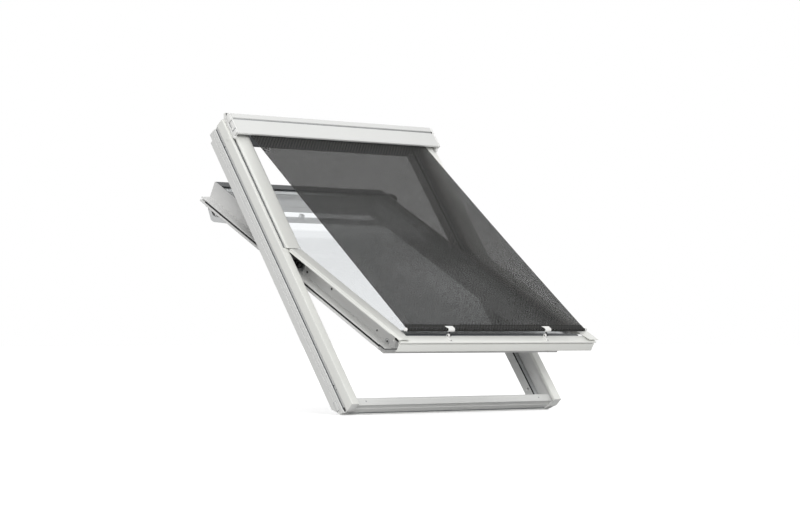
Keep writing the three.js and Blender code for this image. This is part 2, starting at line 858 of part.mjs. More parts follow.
for (const [name, side] of Object.entries(sides)) {
  const capOutline = [
    [hoodLow, hoodFront],
    [hoodHigh, hoodFront],
    [hoodHigh + hoodGroove, hoodFront - hoodGroove],
    hoodBack,
    [hoodLeg, sheet],
    [halfLength, seat],
    [hoodLow + hoodTongueHeight, seat],
    [hoodLow - hoodCapTongue, seat + hoodTongueHeight],
    [hoodLow - hoodCapTongue, seat + 2 * hoodTongueHeight],
    [hoodLow, seat + 3 * hoodTongueHeight],
  ];
  const outline = alongX(capOutline, side * capInner, side * (capInner + hoodCapThickness));
  const coverRoom = box(
    side * hoodHalf, side * (halfWidth - hoodCapFootInset),
    hoodLow - overrun - hoodCapTongue, hoodLeg + overrun, -overrun, upperCoverRise + seat,
  );
  const guideBore = rod(
    guideRadius + seat, side * hoodHalf, side * (capInner + guideBearing + seat),
    guideCentre.x, guideCentre.y,
  );
  const spindle = rod(
    spindleRadius, side * (rollerHalf - spindleOverlap), side * (capInner + seat),
    rollerUp, rollerFront,
  );
  piece(frame, `casing_cap_${name}`, join(cut(outline, coverRoom, guideBore), spindle), white);
}

const guideHalf = capInner + guideBearing;
const guideRod = rod(guideRadius, -guideHalf, guideHalf, guideCentre.x, guideCentre.y);
piece(frame, 'guide_rod', guideRod, steel);

const rollerBores = Object.values(sides).map((side) => rod(
  spindleRadius + spindleRunning, side * (rollerHalf - spindleOverlap - 2 * sheet),
  side * (rollerHalf + overrun), rollerUp, rollerFront,
));
const rollerBody = rod(rollerRadius, -rollerHalf, rollerHalf, rollerUp, rollerFront);
piece(frame, 'roller', cut(rollerBody, ...rollerBores), steel);
const fabricHalf = halfWidth - fabricInset;
const rollOuter = rollerRadius + seat + rollWall;
const fabricRoll = tube(
  rollOuter, rollerRadius + seat, -fabricHalf, fabricHalf, rollerUp, rollerFront,
);
piece(frame, 'fabric_roll', fabricRoll, fabric);

// The run of fabric inside the casing, from behind the guide rod to the top of the roll
const toRoller = new THREE.Vector2(rollerUp - guideUp, rollerFront - guideFront);
const leaderRadius = rollOuter + seat + fabricThickness / 2;
const leaderAngle = toRoller.angle() + Math.asin(leaderRadius / toRoller.length());
const leaderEnd = Math.sqrt(toRoller.lengthSq() - leaderRadius ** 2);
const leaderSection = [
  [leaderStart, -fabricThickness / 2],
  [leaderEnd, -fabricThickness / 2],
  [leaderEnd, fabricThickness / 2],
  [leaderStart, fabricThickness / 2],
].map(([along, off]) => {
  const point = new THREE.Vector2(along, off).rotateAround(new THREE.Vector2(), leaderAngle);
  return [guideUp + point.x, guideFront + point.y];
});
piece(frame, 'fabric_leader', alongX(leaderSection, -fabricHalf, fabricHalf), fabric);

// Screen: the fabric and its bottom bar, drawn along the fabric line with the bar at the origin
screen.position.set(0, barAtRest.x, barAtRest.y);
screen.rotation.x = fabricAngle;
const fabricSheet = box(
  -fabricHalf, fabricHalf, hemRadius, fabricSpan + fabricTail,
  fabricAboveBar - fabricThickness / 2, fabricAboveBar + fabricThickness / 2,
);
piece(screen, 'fabric_sheet', fabricSheet, fabric);
piece(screen, 'hem_sleeve', tube(hemRadius, barRadius + seat, -fabricHalf, fabricHalf, 0, 0), fabric);
const barInner = barRadius - barWall;
piece(screen, 'bottom_bar', tube(barRadius, barInner, -fabricHalf, fabricHalf, 0, 0), steel);
for (const [name, side] of Object.entries(sides)) {
  const capFace = side * (fabricHalf + seat);
  const cap = rod(barCapRadius, capFace, capFace + side * barCapLength, 0, 0);
  const spigot = rod(barInner - seat, capFace - side * barCapSpigot, capFace + side * sheet, 0, 0);
  piece(screen, `bar_cap_${name}`, join(cap, spigot), plastic);
}

// Lugs on the bottom cover, and the clips that turn on them and hold the bar
const lugUp = -halfLength - lugReach;
const coverSlope = bottomCoverDrop / (bottomEdgeReach - bottomFoldReach);
const coverAt = (along) => bottomCoverRise + (along - bottomFold) * coverSlope + seat;

function barPoint(radius, angle) {
  return arc(barUp, barFront, radius, angle, angle, 1)[0];
}

for (const [name, side] of Object.entries(sides)) {
  const at = (offset) => side * clipAt + offset;
  const footHigh = lugUp + lugFootUp;
  const footLow = lugUp - lugFootDown;
  const foot = alongX([
    [footLow, coverAt(footLow)],
    [footHigh, coverAt(footHigh)],
    [footHigh, coverAt(footHigh) + lugFootThickness],
    [footLow, coverAt(footLow) + lugFootThickness],
  ], at(-lugWidth / 2), at(lugWidth / 2));
  const ring = rod(lugRadius, at(-lugWidth / 2), at(lugWidth / 2), lugUp, lugFront);
  const neck = box(
    at(-lugWidth / 2), at(lugWidth / 2), lugUp - lugNeckWidth / 2, lugUp + lugNeckWidth / 2,
    coverAt(lugUp) + lugFootThickness / 2, lugFront,
  );
  const pin = rod(lugPinRadius, at(-clipWidth / 2), at(clipWidth / 2), lugUp, lugFront);
  piece(sash, `screen_lug_${name}`, join(foot, ring, neck, pin), plastic);

  const grip = hemRadius + clipFit;
  const gripTop = 90 + clipTabAngle;
  const tabRun = new THREE.Vector2(clipTabLength, 0)
    .rotateAround(new THREE.Vector2(), THREE.MathUtils.degToRad(clipTabAngle));
  const [tabUpper, tabLower] = [grip + clipWall, grip].map((radius) => {
    const [up, front] = barPoint(radius, gripTop);
    return [up + tabRun.x, front + tabRun.y];
  });
  const hook = [
    tabUpper,
    ...arc(barUp, barFront, grip + clipWall, gripTop, clipFootAngle, clipArcSteps),
    ...arc(barUp, barFront, grip, clipFootAngle, gripTop, clipArcSteps),
    tabLower,
  ];
  const web = [
    barPoint(grip + sheet, clipWebAngle),
    [lugUp - lugRadius + sheet, lugFront],
    [lugUp + sheet, lugFront],
    barPoint(grip + sheet, clipFootAngle),
  ];
  const [from, to] = [at(-clipWidth / 2), at(clipWidth / 2)];
  const body = join(
    alongX(hook, from, to), alongX(web, from, to),
    rod(lugRadius - seat, from, to, lugUp, lugFront),
  );
  const slot = rod(
    lugRadius + seat, at(-lugWidth / 2 - seat), at(lugWidth / 2 + seat), lugUp, lugFront,
  );
  const bore = rod(lugPinRadius + lugRunning, from - overrun, to + overrun, lugUp, lugFront);
  piece(sash, `screen_clip_${name}`, cut(body, slot, bore), plastic);
}

// Control bar across the back of the sash, with a post to the vent flap
const barHigh = sashTop - sashTopWidth - controlBarDown + controlBarWidth / 2;
const barLow = barHigh - controlBarWidth;
const bracketOuter = sashOuter - bracketInset;
const bracketInner = bracketOuter - bracketWidth;
const controlBar = box(
  -bracketInner + seat, bracketInner - seat, barLow, barHigh,
  -controlBarDepth, -controlBarDepth - controlBarHeight,
);
const post = box(
  postAt - postWidth / 2, postAt + postWidth / 2, barLow, barHigh,
  -sashDepth - sheet, -controlBarDepth - sheet,
);
piece(sash, 'control_bar', join(controlBar, post), white);

// Looped brackets at the ends of the bar, each turning on a pin of its bearing
const axleUp = sashTop - bracketAxleSetBack;
const bracketTop = -bracketAxleDepth + bracketEyeRadius;
const bracketTail = axleUp - bracketLength;
for (const [name, side] of Object.entries(sides)) {
  const eye = arc(axleUp, -bracketAxleDepth, bracketEyeRadius, 90, -60, clipArcSteps);
  const loop = [
    ...eye,
    [barHigh + sheet, -bracketApex],
    [barLow, -bracketApex],
    [bracketTail, bracketTop - bracketTailHeight],
    [bracketTail, bracketTop],
  ];
  const hole = [
    [axleUp - bracketEyeRadius - bracketRim * 2, bracketTop - bracketRim],
    [barHigh, -controlBarDepth],
    [barLow, -controlBarDepth],
    [bracketTail + bracketLength / 3, bracketTop - bracketRim],
  ];
  const outer = side * bracketOuter;
  const inner = side * bracketInner;
  const bore = rod(
    bracketAxleRadius + bracketRunning, inner - side * overrun, outer + side * overrun,
    axleUp, -bracketAxleDepth,
  );
  piece(sash, `bar_bracket_${name}`, cut(alongX(loop, inner, outer, [hole]), bore), white);

  const blockOuter = side * (bracketInner - seat);
  const block = box(
    blockOuter, blockOuter - side * bearingWidth,
    axleUp - bearingLength / 2, axleUp + bearingLength / 2,
    -sashDepth - seat, -sashDepth - seat - bearingHeight,
  );
  const axle = rod(
    bracketAxleRadius, blockOuter - side * sheet, outer - side * sheet, axleUp, -bracketAxleDepth,
  );
  piece(sash, `bar_bearing_${name}`, join(block, axle), steel);
}

// Vent flap over the slots, and the lock with its latch at the top of the sash
const flapHalf = sashInner - flapSetBack;
const flap = box(
  -flapHalf, flapHalf, sashTopInner - seat - flapThickness, sashTopInner - seat,
  -flapTop, -flapTop - flapHeight,
);
piece(sash, 'vent_flap', flap, white);

const latchLow = sashTop - latchBack;
const lockCase = box(
  -lockHalf, lockHalf, sashTop - lockDepth, sashTop, -lockTop, -lockTop - lockHeight,
);
const latchSlot = box(
  -latchHalf - seat, latchHalf + seat, latchLow - latchTravel - seat, sashTop + overrun,
  -latchTop + seat, -latchTop - latchHeight - seat,
);
piece(sash, 'lock_case', cut(lockCase, latchSlot), steel);
const latchBolt = box(
  -latchHalf, latchHalf, latchLow, sashTop + latchReach, -latchTop, -latchTop - latchHeight,
);
piece(sash, 'latch_bolt', latchBolt, steel);

// Cleaning bolt in its housing on the right side of the sash
const housingOuter = sashOuter + seat + boltHousingWidth;
const housing = box(
  sashOuter + seat, housingOuter, boltUp - boltHousingLength / 2, boltUp + boltHousingLength / 2,
  -boltDepth - boltHousingHeight / 2, -boltDepth + boltHousingHeight / 2,
);
const housingBore = rod(
  boltRadius + boltRunning, sashOuter - overrun, housingOuter + overrun, boltUp, -boltDepth,
);
piece(sash, 'bolt_housing', cut(housing, housingBore), black);
const cleaningBolt = rod(boltRadius, sashOuter + 2 * seat, housingOuter + sheet, boltUp, -boltDepth);
piece(sash, 'cleaning_bolt', cleaningBolt, steel);

export default root;
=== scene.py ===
"""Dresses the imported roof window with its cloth, fittings, finishes, lights and camera.

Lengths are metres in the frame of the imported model. Window places are given in three flat
systems, as on a maker's drawing: (across, up the roof, out of the roof) for the frame, the same
three for the closed sash, and (across, along the cloth, out of the cloth) for the screen.
"""

import json
import math

import bmesh
import bpy
import numpy as np
from bpy.props import FloatProperty, FloatVectorProperty, PointerProperty
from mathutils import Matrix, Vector


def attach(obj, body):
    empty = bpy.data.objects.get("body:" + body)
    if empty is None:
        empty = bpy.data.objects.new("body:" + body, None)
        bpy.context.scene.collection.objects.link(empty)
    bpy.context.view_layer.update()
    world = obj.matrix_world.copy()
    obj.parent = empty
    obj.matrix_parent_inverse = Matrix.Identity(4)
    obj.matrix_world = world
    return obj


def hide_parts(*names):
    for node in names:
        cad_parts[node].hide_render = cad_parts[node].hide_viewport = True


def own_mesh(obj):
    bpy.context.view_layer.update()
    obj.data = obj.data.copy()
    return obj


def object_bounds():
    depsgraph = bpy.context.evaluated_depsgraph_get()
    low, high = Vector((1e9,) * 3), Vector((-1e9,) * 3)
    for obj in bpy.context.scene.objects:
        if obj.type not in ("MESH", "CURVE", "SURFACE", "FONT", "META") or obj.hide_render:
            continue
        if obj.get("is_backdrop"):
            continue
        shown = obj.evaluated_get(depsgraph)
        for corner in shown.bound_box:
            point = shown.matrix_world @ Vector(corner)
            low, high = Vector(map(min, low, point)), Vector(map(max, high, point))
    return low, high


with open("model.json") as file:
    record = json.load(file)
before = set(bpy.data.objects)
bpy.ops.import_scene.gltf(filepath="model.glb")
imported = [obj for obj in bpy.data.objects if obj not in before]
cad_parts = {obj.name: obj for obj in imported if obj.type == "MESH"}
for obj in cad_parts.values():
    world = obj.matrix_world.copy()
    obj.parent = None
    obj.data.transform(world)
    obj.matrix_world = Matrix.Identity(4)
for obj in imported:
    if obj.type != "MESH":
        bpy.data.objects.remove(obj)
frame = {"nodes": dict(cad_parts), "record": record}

bl_info = {
    "name": "Roof window with roller screen",
    "version": (1, 0, 0),
    "blender": (4, 5, 0),
    "location": "3D View > Sidebar > Roof window",
    "description": "Cloth, fittings and finishes of a pivoting roof window",
    "category": "Object",
}

MM = 0.001
TURN = 2 * math.pi
SIDES = (("left", -1), ("right", 1))

# The three flat systems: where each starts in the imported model, and its two slanted directions
ROOF_PITCH = math.radians(54.1)
BATTEN_UP = 478.5 * MM
BATTEN_DEPTH = 70 * MM
PIVOT_UP = 6 * MM
PIVOT_DEPTH = 35 * MM
SASH_OPENING = math.radians(25.87)
BAR_AXIS = np.array([0, -0.773562, -0.545798])
CLOTH_ALONG = np.array([0, 0.772661, 0.634818])
CLOTH_OUT = np.array([0, -0.634818, 0.772661])

# Angles between faces, in degrees, above which folds and rings keep a sharp edge
FOLD_ANGLE = 32
RING_ANGLE = 40

# The grid of the cloth, the ripple below the bar, and how it narrows behind the guide rod
SHEET_COLUMNS = 61
SHEET_ROWS = 121
SIDE_HOLD = 0.45
RIPPLE_HEIGHT = 8 * MM
RIPPLE_WAVES = 9
RIPPLE_FADE = 14
TAIL_TAPER = 11 * MM

# Everything from here to the floor is in millimetres. Bottom bar and hem of the cloth
HEM_RADIUS = 4.5
HEM_PLY = 0.55
HEM_FLAP = 18
HEM_STITCH = 14
BAR_END = 331
BAR_BORE = 2.6
BAR_RADIUS = 3.6
CAP_SPIGOT = 2.3
CAP_SPIGOT_LENGTH = 9
CAP_DOME = 0.45
BAR_CAP_LENGTH = 7.5

# Clips and lugs on the sash: places are (up the sash, out of it), lines are (up, out, radius)
BAR_IN_SASH = np.array([-493.3, 24.7])
LUG_AXIS = np.array([-503.3, 12])
LUG_HALF = 2.4
LUG_SHIFT = -5.5
LUG_FOOT = ((-500.4, 8.2, 0), (-505, 7.8, 1), (-521, 4.9, 0))
LUG_FOOT_WALL = 2.6
LUG_FOOT_ENDS = (-3.2, 5.6)
LUG_SLOT = ((-516.5, 5.9, 0), (-519.2, 5.3, 0))
LUG_SLOT_WALL = 0.4
LUG_SLOT_ENDS = (-0.2, 4.2)
LUG_PIN = 1.9
CLIP_AT = 180
CLIP_SHIFT = 5
CLIP_HALF = 11.3
CLIP_WALL = 1.3
HOOK_START = 245
HOOK_END = 96
TAB_LINE = ((1.2, 0.2), (3.4, 1.2), (5.6, 2.9))
TAB_LENGTH = 5.6
TAB_SHIFT = 4
TAB_FLARE = 5
LINK_HALF = 2.4
LINK_WALL = 1.2

# Cloth, rod and roller inside the casing: places are (up the roof, out of it)
LEADER_START = (428.9, 20.3)
LEADER_END = (466.4, 26.7)
LEADER_DROP = 0.4
LEADER_WALL = 0.6
ROLLER_AXIS = (468, 17.5)
ROLL_RADIUS = 7.9
ROLL_PITCH = 0.5
ROLL_TURNS = 1.5
ROLL_WALL = 0.35
GUIDE_ROD = (422.83, 22.17)
GUIDE_ROD_LINE = ((0, -378.2), (2.2, -378.2), (2.5, -377.8), (2.5, 377.8), (2.2, 378.2), (0, 378.2))

# Claddings of the frame's sides: (across, out, radius), and stations of (up, share above the pivot)
CLADDING_BELOW = ((363.6, -9, 0), (363.6, 0, 6), (390, 0, 2), (390, -28.2, 0))
CLADDING_ABOVE = ((380.1, -5.6, 0), (380.1, 0, 3), (390, 0, 2), (390, -28.2, 0))
CLADDING_WALL = 1.4
CLADDING_STATIONS = ((-492, 0), (-489, 0), (-485, 0), (31, 0), (31.5, 1), (489, 1))
CLADDING_FOOT = -489
CLADDING_SLANT = 3 / 29

# The flared end of the upper covers: (across, out, radius), and stations of (up, inset)
NOSING_LINE = (
    (321.2, 0.7, 0), (324.4, 4.6, 3), (329, 6.0, 4), (368.5, 7.6, 6), (374.8, 5.5, 4), (374.8, 0.9, 0),
)
NOSING_WALL = 0.6
NOSING_STATIONS = ((24.4, 0), (27.4, 0), (30.4, 0), (33.5, 0))
NOSING_START = 33.5
NOSING_RUN = 9
NOSING_FLOOR = 0.6
NOSING_RISE = 6.8
NOSING_LIFT = 0.5

# Lower covers of the sash: (across, out, radius), stations up it, and the slanted cut of the tail
COVER_LINE = (
    (318.5, -13.8, 0), (318.5, 5.0, 5), (325, 9.4, 6), (345, 9.9, 3), (361, 10.6, 0.8),
    (362.6, 8.2, 0.4), (364.4, 10.2, 0.8), (371, 8.6, 2.5), (371, 4.4, 0),
)
COVER_WALL = 1.3
COVER_STATIONS = (-522, -511, -500, -489, -478, -467, -456, -455, -240, -40, -2, -1, 4.2)
COVER_TAIL = -456
COVER_TAIL_RUN = 66
COVER_INNER = 320.4
COVER_SLANT = 16.2
COVER_TIP_START = -1.5
COVER_TIP = 366.0
COVER_OUTER = 371.0
COVER_DEEP = -14
COVER_DEEP_RUN = 30
COVER_DEEP_RISE = 21.6

# Folded lines (up, out, radius) with their walls and half widths: bottom cover, sill and casing
BOTTOM_TOP = ((-521.8, -1.6, 0), (-521.8, 2.4, 1.8), (-493.5, 7, 2.5), (-493.5, -9, 0))
BOTTOM_FACE = (
    (-512, -27.4, 0), (-513, -29, 1), (-517.4, -29, 1.6), (-518.2, -5.4, 1),
    (-514.4, -4.6, 0.5), (-514.2, 1.2, 0.5), (-511, 1.6, 0),
)
SILL_LINE = (
    (-460, -28.2, 0), (-460, -15.8, 1), (-465, -15.2, 0.5), (-467, -16, 0.5), (-478.5, -15.4, 1),
    (-483.2, -14.6, 1.5), (-483.4, -18.2, 1), (-481.4, -20.4, 0.8), (-482.0, -33.2, 0.4),
    (-482.8, -34.0, 0.5), (-482.8, -47.6, 0.5), (-482.2, -49, 0.4), (-482.8, -58.6, 0),
)
CASING_LINE = (
    (417.2, 22.6, 0), (417.2, 29, 6), (466.5, 29, 0.6), (469, 25, 0.6), (472.6, 25, 0.4),
    (473.2, 29.8, 0.6), (487, 29.6, 2.5), (490.5, 27, 2), (504.5, 9.6, 2), (490.7, 1.5, 2),
    (490.7, -22, 0),
)
SHEETS = (
    ("bottom_top", BOTTOM_TOP, 1.4, 364, 0.4, "sash", "white_metal", "bottom_cover"),
    ("bottom_face", BOTTOM_FACE, 1.3, 362.6, 0.4, "sash", "white_metal"),
    ("casing_folded", CASING_LINE, 1.3, 378, 0.3, "frame", "grey_metal", "screen_casing"),
    ("sill_folded", SILL_LINE, -1.2, 366.7, 0.3, "frame", "grey_metal", "bottom_cladding"),
)

# Closed outlines (up, out, radius) carried across, with their half widths and end radii
# A dark strip in the sill's face, which paints the shade of the groove there
SILL_SHADE_STRIP = ((-482, -54.4, 0), (-483.4, -54.4, 0.4), (-483.4, -51.8, 0.4), (-482, -51.8, 0))
DRIP_STRIP = ((-482, -56.6, 0), (-485.6, -56.6, 0.8), (-485.6, -58.6, 0.8), (-482, -58.6, 0))
# A grey steel strip on the floor of the casing's groove, which paints the groove's shade
CASING_SHADE_STRIP = ((468.4, 24.4, 0), (468.4, 26.4, 0.4), (472.4, 26.4, 0.4), (472.4, 24.4, 0))
SEAL_FOOT = ((-459.2, -53.6, 0.3), (-459.2, -51.2, 0.5), (-457.5, -51.2, 0), (-457.5, -53.6, 0))
GLAZING_RIDGE = (
    (-493.2, -8.8, 0), (-493.2, 6.6, 2), (-486.4, 6.6, 1), (-485.4, 5.4, 0.4), (-484.4, 6.2, 1),
    (-478.2, 5.2, 3), (-478.2, -4.7, 0), (-488.4, -4.7, 0), (-488.4, -8.8, 0),
)
STRIPS = (
    ("sill_seam", SILL_SHADE_STRIP, 366.7, 0.3, "frame", "dark_metal"),
    ("drip_strip", DRIP_STRIP, 385, 0.3, "frame", "grey_metal"),
    ("casing_seam", CASING_SHADE_STRIP, 378, 0.3, "frame", "steel"),
    ("seal_foot", SEAL_FOOT, 349.8, 0.5, "sash", "black_rubber"),
    ("glazing_ridge", GLAZING_RIDGE, 318, 0.4, "sash", "dark_metal", "glazing_bar"),
)

# End caps of the casing: plates are (name, low corner, high corner, depths, radius, lip, slot)
CAP_OUTLINE = (
    (417.3, 23.5, 1), (417.3, 29, 3), (487, 29.2, 2.5), (490.5, 27, 1.5), (493.6, 21.4, 0.5),
    (487.5, 12.0, 0.8), (500, 14.8, 0.5), (504.5, 9.6, 1.5), (490.7, 1.5, 1), (489, 0.4, 0.3),
    (422, 0.4, 1), (413, 5.5, 2), (413, 10.3, 2), (417.3, 15.3, 1),
)
CAP_DEPTHS = (378.3, 383.2)
CAP_PLATES = (
    ("cap_upper", (464.4, 12.6), (486.6, 28.4), (383, 385.8), 1.5, 0.5, "white_plastic"),
    ("cap_middle", (436.5, 16), (462.6, 28.4), (383, 384.4), 1.5, 0.5, "white_plastic"),
    ("cap_lower", (418, 12.6), (431.6, 28.4), (383, 385.8), 1.5, 0.5, "white_plastic"),
    ("cap_rail", (413.4, 7.6), (489.4, 11.4), (383, 386), 1.5, 0.5, "white_plastic"),
    ("cap_gap", (417.4, 12.1), (487.2, 28.9), (383, 383.6), 1.5, 0.1, "steel"),
)
CAP_NOTCH = ((487, 11, 1), (501, 15, 1), (494, 22.4, 1))
CAP_NOTCH_DEPTHS = (379.2, 381.6)
CAP_BOSS_AT = (383, 440, 15)
CAP_BOSS = ((0, 0), (3.4, 0), (3.4, 2.2), (2.6, 2.8), (1.2, 2.8), (1.2, 1.8), (0, 1.8))
CAP_SPINDLE = ((0, 338), (2.6, 338), (3, 338.6), (3, 378.6), (0, 378.6))

# Hinges: plates as above, then turned outlines of (radius, across) about (up, out)
HINGE_BACK = ((-42, -47.6), (54, -12.4), (363.7, 366.7), 6, 0.3)
HINGE_FRONT = ((-24, -47), (56, -17), (318.3, 321.3), 6, 0.3)
DRUM_AT = (6, -35)
DRUM = ((0, 331.3), (7.4, 331.3), (8, 332), (8, 352), (11, 356), (11, 363.8), (0, 363.8))
BOSS_AT = (-5, -35)
BOSS = ((0, 318.4), (9, 318.4), (9, 324), (8, 327), (5.5, 329.4), (3, 330.4), (3, 329), (0, 329))

# Seals, a liner, and strips and a plate of painted shade up the slope: (across, out, radius) and their
# ends; two are plates as above
SASH_SEAL = (
    (341, -53.3, 0.5), (349.8, -53.3, 0.5), (350.4, -55.4, 1.2), (348.6, -58.0, 1.6),
    (344, -57.4, 1.6), (341, -55.4, 0.8),
)
SASH_SEAL_ENDS = (-434.5, 434)
SEAL_RUN = ((-459, -53.5), (-434, -50.6), (349.2, 350.3), 0.4, 0.3)
# A black plate in the gap under the end of the lower cover, which paints the shade there
COVER_END_SHADE = ((-512, -4), (-492, 1), (352, 361), 1.5, 0.3)
FRAME_BULB = ((351.2, -53.7, 0.4), (351.2, -51.4, 1), (354.8, -51.0, 1), (355.4, -53.7, 0.4))
STEP_LINER = ((355, -53.8, 0), (355, -53.0, 0.4), (366.7, -48, 0.4), (366.7, -53.8, 0))
STEP_ENDS = (-459.7, 462.7)
# A dark strip in the groove behind the outer band of the frame's side, which paints the groove's shade
BAND_SHADE_STRIP = ((384.5, -42.6, 0), (387.4, -42.6, 0.5), (387.4, -40.4, 0.5), (384.5, -40.4, 0))
BAND_SHADE_ENDS = (-478, 486)
# A grey steel strip on the floor of the gap between the side cladding and the upper cover, which paints
# the gap's shade
COVER_SHADE_STRIP = ((373.9, -4, 0), (375.8, -4, 0.5), (375.6, -0.6, 0.5), (373.9, -0.6, 0))
COVER_SHADE_ENDS = (34, 416)

# Small fittings: heads are (name, up, out, radius, height) on a side face
DOME_TURN = 160 / 3
HEAD_SINK = 0.6
SOCKET_SHARE = 0.42
SASH_FACE = 318.2
SASH_SCREW = (-157, -30, 3.4, 1.6)
SASH_PLUGS = (("plug_upper", -41, -38, 3.4, 1), ("plug_lower", -377, -40, 2.6, 1))
RECESS_AT = (-427, -46)
RECESS_RING = ((6.2, -0.5), (8.2, -0.5), (8.2, 0.8), (7.6, 1.3), (6.8, 1.3), (6.2, 0.8))
RECESS_SCREW = (3.2, 1)
FRAME_PLATES = (
    ("band_clip", (-470, -63), (-443, -53), (389.4, 391), 1.5, 0.3, "white_core"),
    ("band_slot", (-471.4, -64.4), (-441.6, -51.6), (389.3, 390.2), 1.5, 0.1, "steel"),
    ("band_tag", (421, -17), (430, -3), (389.6, 390.5), 1.5, 0.3, "white_metal"),
    ("groove_end", (-486, -42), (-474, -30.5), (383, 386.6), 0.8, 0.3, "black_plastic"),
)
GROOVE_FACE = 386
GROOVE_PLUGS = ((-403, -37), (-418, -36), (419, -37))
GROOVE_PLUG = (2, 1)
SILL_SCREW_AT = (322, -471, -16)
SILL_SCREW = (2.6, 1)

# Finishes: how far the dark tone dips, depth of relief, and a low index for faint reflections
PAINT_DIP = 0.93
PAINT_RELIEF = 0.4
METAL_DIP = 0.8
METAL_RELIEF = 0.2
CLOTH_RELIEF = 0.2
PANE_INDEX = 1.15

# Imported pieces: points closer than this merge, in metres, and angles in degrees between planes
WELD_REACH = 1e-5
PLANE_ANGLE = 0.5
EDGE_ANGLE = 28

# Floor in metres, lights, and the camera's sensor in millimetres
FLOOR_REACH = 30
FLOOR_POINTS = 25
FLOOR_LIFT = 0.66
KEY_ANGLE = math.radians(30)
KEY_FROM = Vector((-0.47, -0.82, 0.32))
SENSOR_WIDTH = 36


def from_frame(points):
    """Turns flat frame points to the roof pitch about the seat on the roof batten."""
    flat = np.asarray(points, float)
    up = flat[..., 1] - BATTEN_UP
    out = flat[..., 2] + BATTEN_DEPTH
    c, s = math.cos(ROOF_PITCH), math.sin(ROOF_PITCH)
    return np.stack([flat[..., 0], up * c - out * s, up * s + out * c], -1)


def from_sash(points):
    """Turns points of the closed sash about the pivot to its opening, then to the roof pitch."""
    flat = np.asarray(points, float)
    rise = flat[..., 1] - PIVOT_UP
    out = flat[..., 2] + PIVOT_DEPTH
    c, s = math.cos(SASH_OPENING), math.sin(SASH_OPENING)
    up = PIVOT_UP + rise * c + out * s
    front = -PIVOT_DEPTH - rise * s + out * c
    return from_frame(np.stack([flat[..., 0], up, front], -1))


def from_screen(points):
    """Places points that are given along and out of the cloth, from the axis of the bottom bar."""
    flat = np.asarray(points, float)
    sideways = flat[..., :1] * np.array([1.0, 0, 0])
    return BAR_AXIS + sideways + flat[..., 1:2] * CLOTH_ALONG + flat[..., 2:3] * CLOTH_OUT


# Sizes and colours that a user would change
def metres(name, description, default):
    return FloatProperty(name=name, description=description, default=default, unit="LENGTH")


def shade(name, description, default):
    return FloatVectorProperty(name=name, description=description, default=default, subtype="COLOR")


class ClothSettings(bpy.types.PropertyGroup):
    """The woven screen cloth."""

    half_width: metres("Half width", "Half the width of the cloth", 0.331)
    start: metres("Start", "Where the cloth leaves the bottom bar", 0.0076)
    span: metres("Span", "From the bottom bar to the guide rod", 0.8669)
    tail: metres("Tail", "Run of cloth past the guide rod", 0.042)
    level: metres("Level", "Height of the cloth over the bar's axis", 0.0025)
    bow: metres("Bow", "How far the side edges draw in at mid span", 0.0022)
    sag: metres("Sag", "How far the cloth hangs at mid span", 0.0035)
    warp_pitch: metres("Warp pitch", "Distance between long threads", 0.00133)
    weft_pitch: metres("Weft pitch", "Distance between cross threads", 0.00152)
    twill_threads: FloatProperty(
        name="Twill", description="Threads in one diagonal of the weave", default=8.0
    )
    opening: FloatProperty(
        name="Opening", description="Share of a thread's pitch left open", default=0.29, subtype="FACTOR"
    )
    thread: shade("Thread", "Colour of the threads", (0.012, 0.012, 0.0115))
    # The raised threads get a lighter colour: a painted highlight where the twill's floats catch the light
    raised_thread_highlight: shade("Lit thread", "Colour of the raised threads", (0.042, 0.042, 0.0405))


class FinishSettings(bpy.types.PropertyGroup):
    """Colours of the paints, mouldings and metals."""

    cladding: shade("Covers", "Paint of the outside covers", (0.80, 0.805, 0.77))
    core: shade("Frame", "Moulded frame members", (0.71, 0.713, 0.7))
    lacquer: shade("Sash", "Lacquer of the sash", (0.74, 0.74, 0.73))
    sill: shade("Sill", "Paint of the sill and the casing", (0.72, 0.725, 0.71))
    dark: shade("Dark trim", "Paint of the head of the window", (0.09, 0.098, 0.105))
    alloy: shade("Alloy", "Bare aluminium", (0.66, 0.67, 0.67))
    zinc: shade("Zinc", "Plated steel", (0.5, 0.51, 0.52))
    black_paint: shade("Black paint", "Paint of the hinges", (0.012, 0.012, 0.012))
    rubber: shade("Rubber", "Seals", (0.014, 0.014, 0.014))
    moulding: shade("Moulding", "White moulded parts", (0.84, 0.84, 0.82))
    glass: shade("Glass", "Tint of the panes", (0.982, 0.993, 1.0))


class StageSettings(bpy.types.PropertyGroup):
    """Camera, lights and floor."""

    lens: FloatProperty(name="Lens", description="Focal length", default=111.8, unit="CAMERA")
    eye: FloatVectorProperty(
        name="Camera place", description="Where the camera stands", default=(-4.63299, -5.65841, -0.55822),
        subtype="TRANSLATION", precision=5,
    )
    look: FloatVectorProperty(
        name="Camera direction", description="Where the camera looks", default=(0.65872, 0.75187, 0.02787),
        subtype="DIRECTION", precision=5,
    )
    key: FloatProperty(name="Key light", description="Strength of the key light", default=1.87)
    fill: FloatProperty(name="Room light", description="Strength of the light all round", default=0.56)
    rise: FloatProperty(name="Sky light", description="How much brighter the room is above", default=0.15)
    floor: shade("Floor", "Colour of the floor", (0.55, 0.55, 0.55))


def settings():
    return bpy.context.scene.roof_window_cloth, bpy.context.scene.roof_window_finish


# Meshes from points worked out as whole arrays
def grid_faces(rows, columns, closed_rows=False, closed_columns=False):
    """Quads between neighbouring points of a grid, which may close on itself either way."""
    a = np.arange(rows if closed_rows else rows - 1)[:, None]
    b = np.arange(columns if closed_columns else columns - 1)[None, :]
    a2, b2 = (a + 1) % rows, (b + 1) % columns
    quads = [a * columns + b, a2 * columns + b, a2 * columns + b2, a * columns + b2]
    return np.stack(np.broadcast_arrays(*quads), -1).reshape(-1, 4)


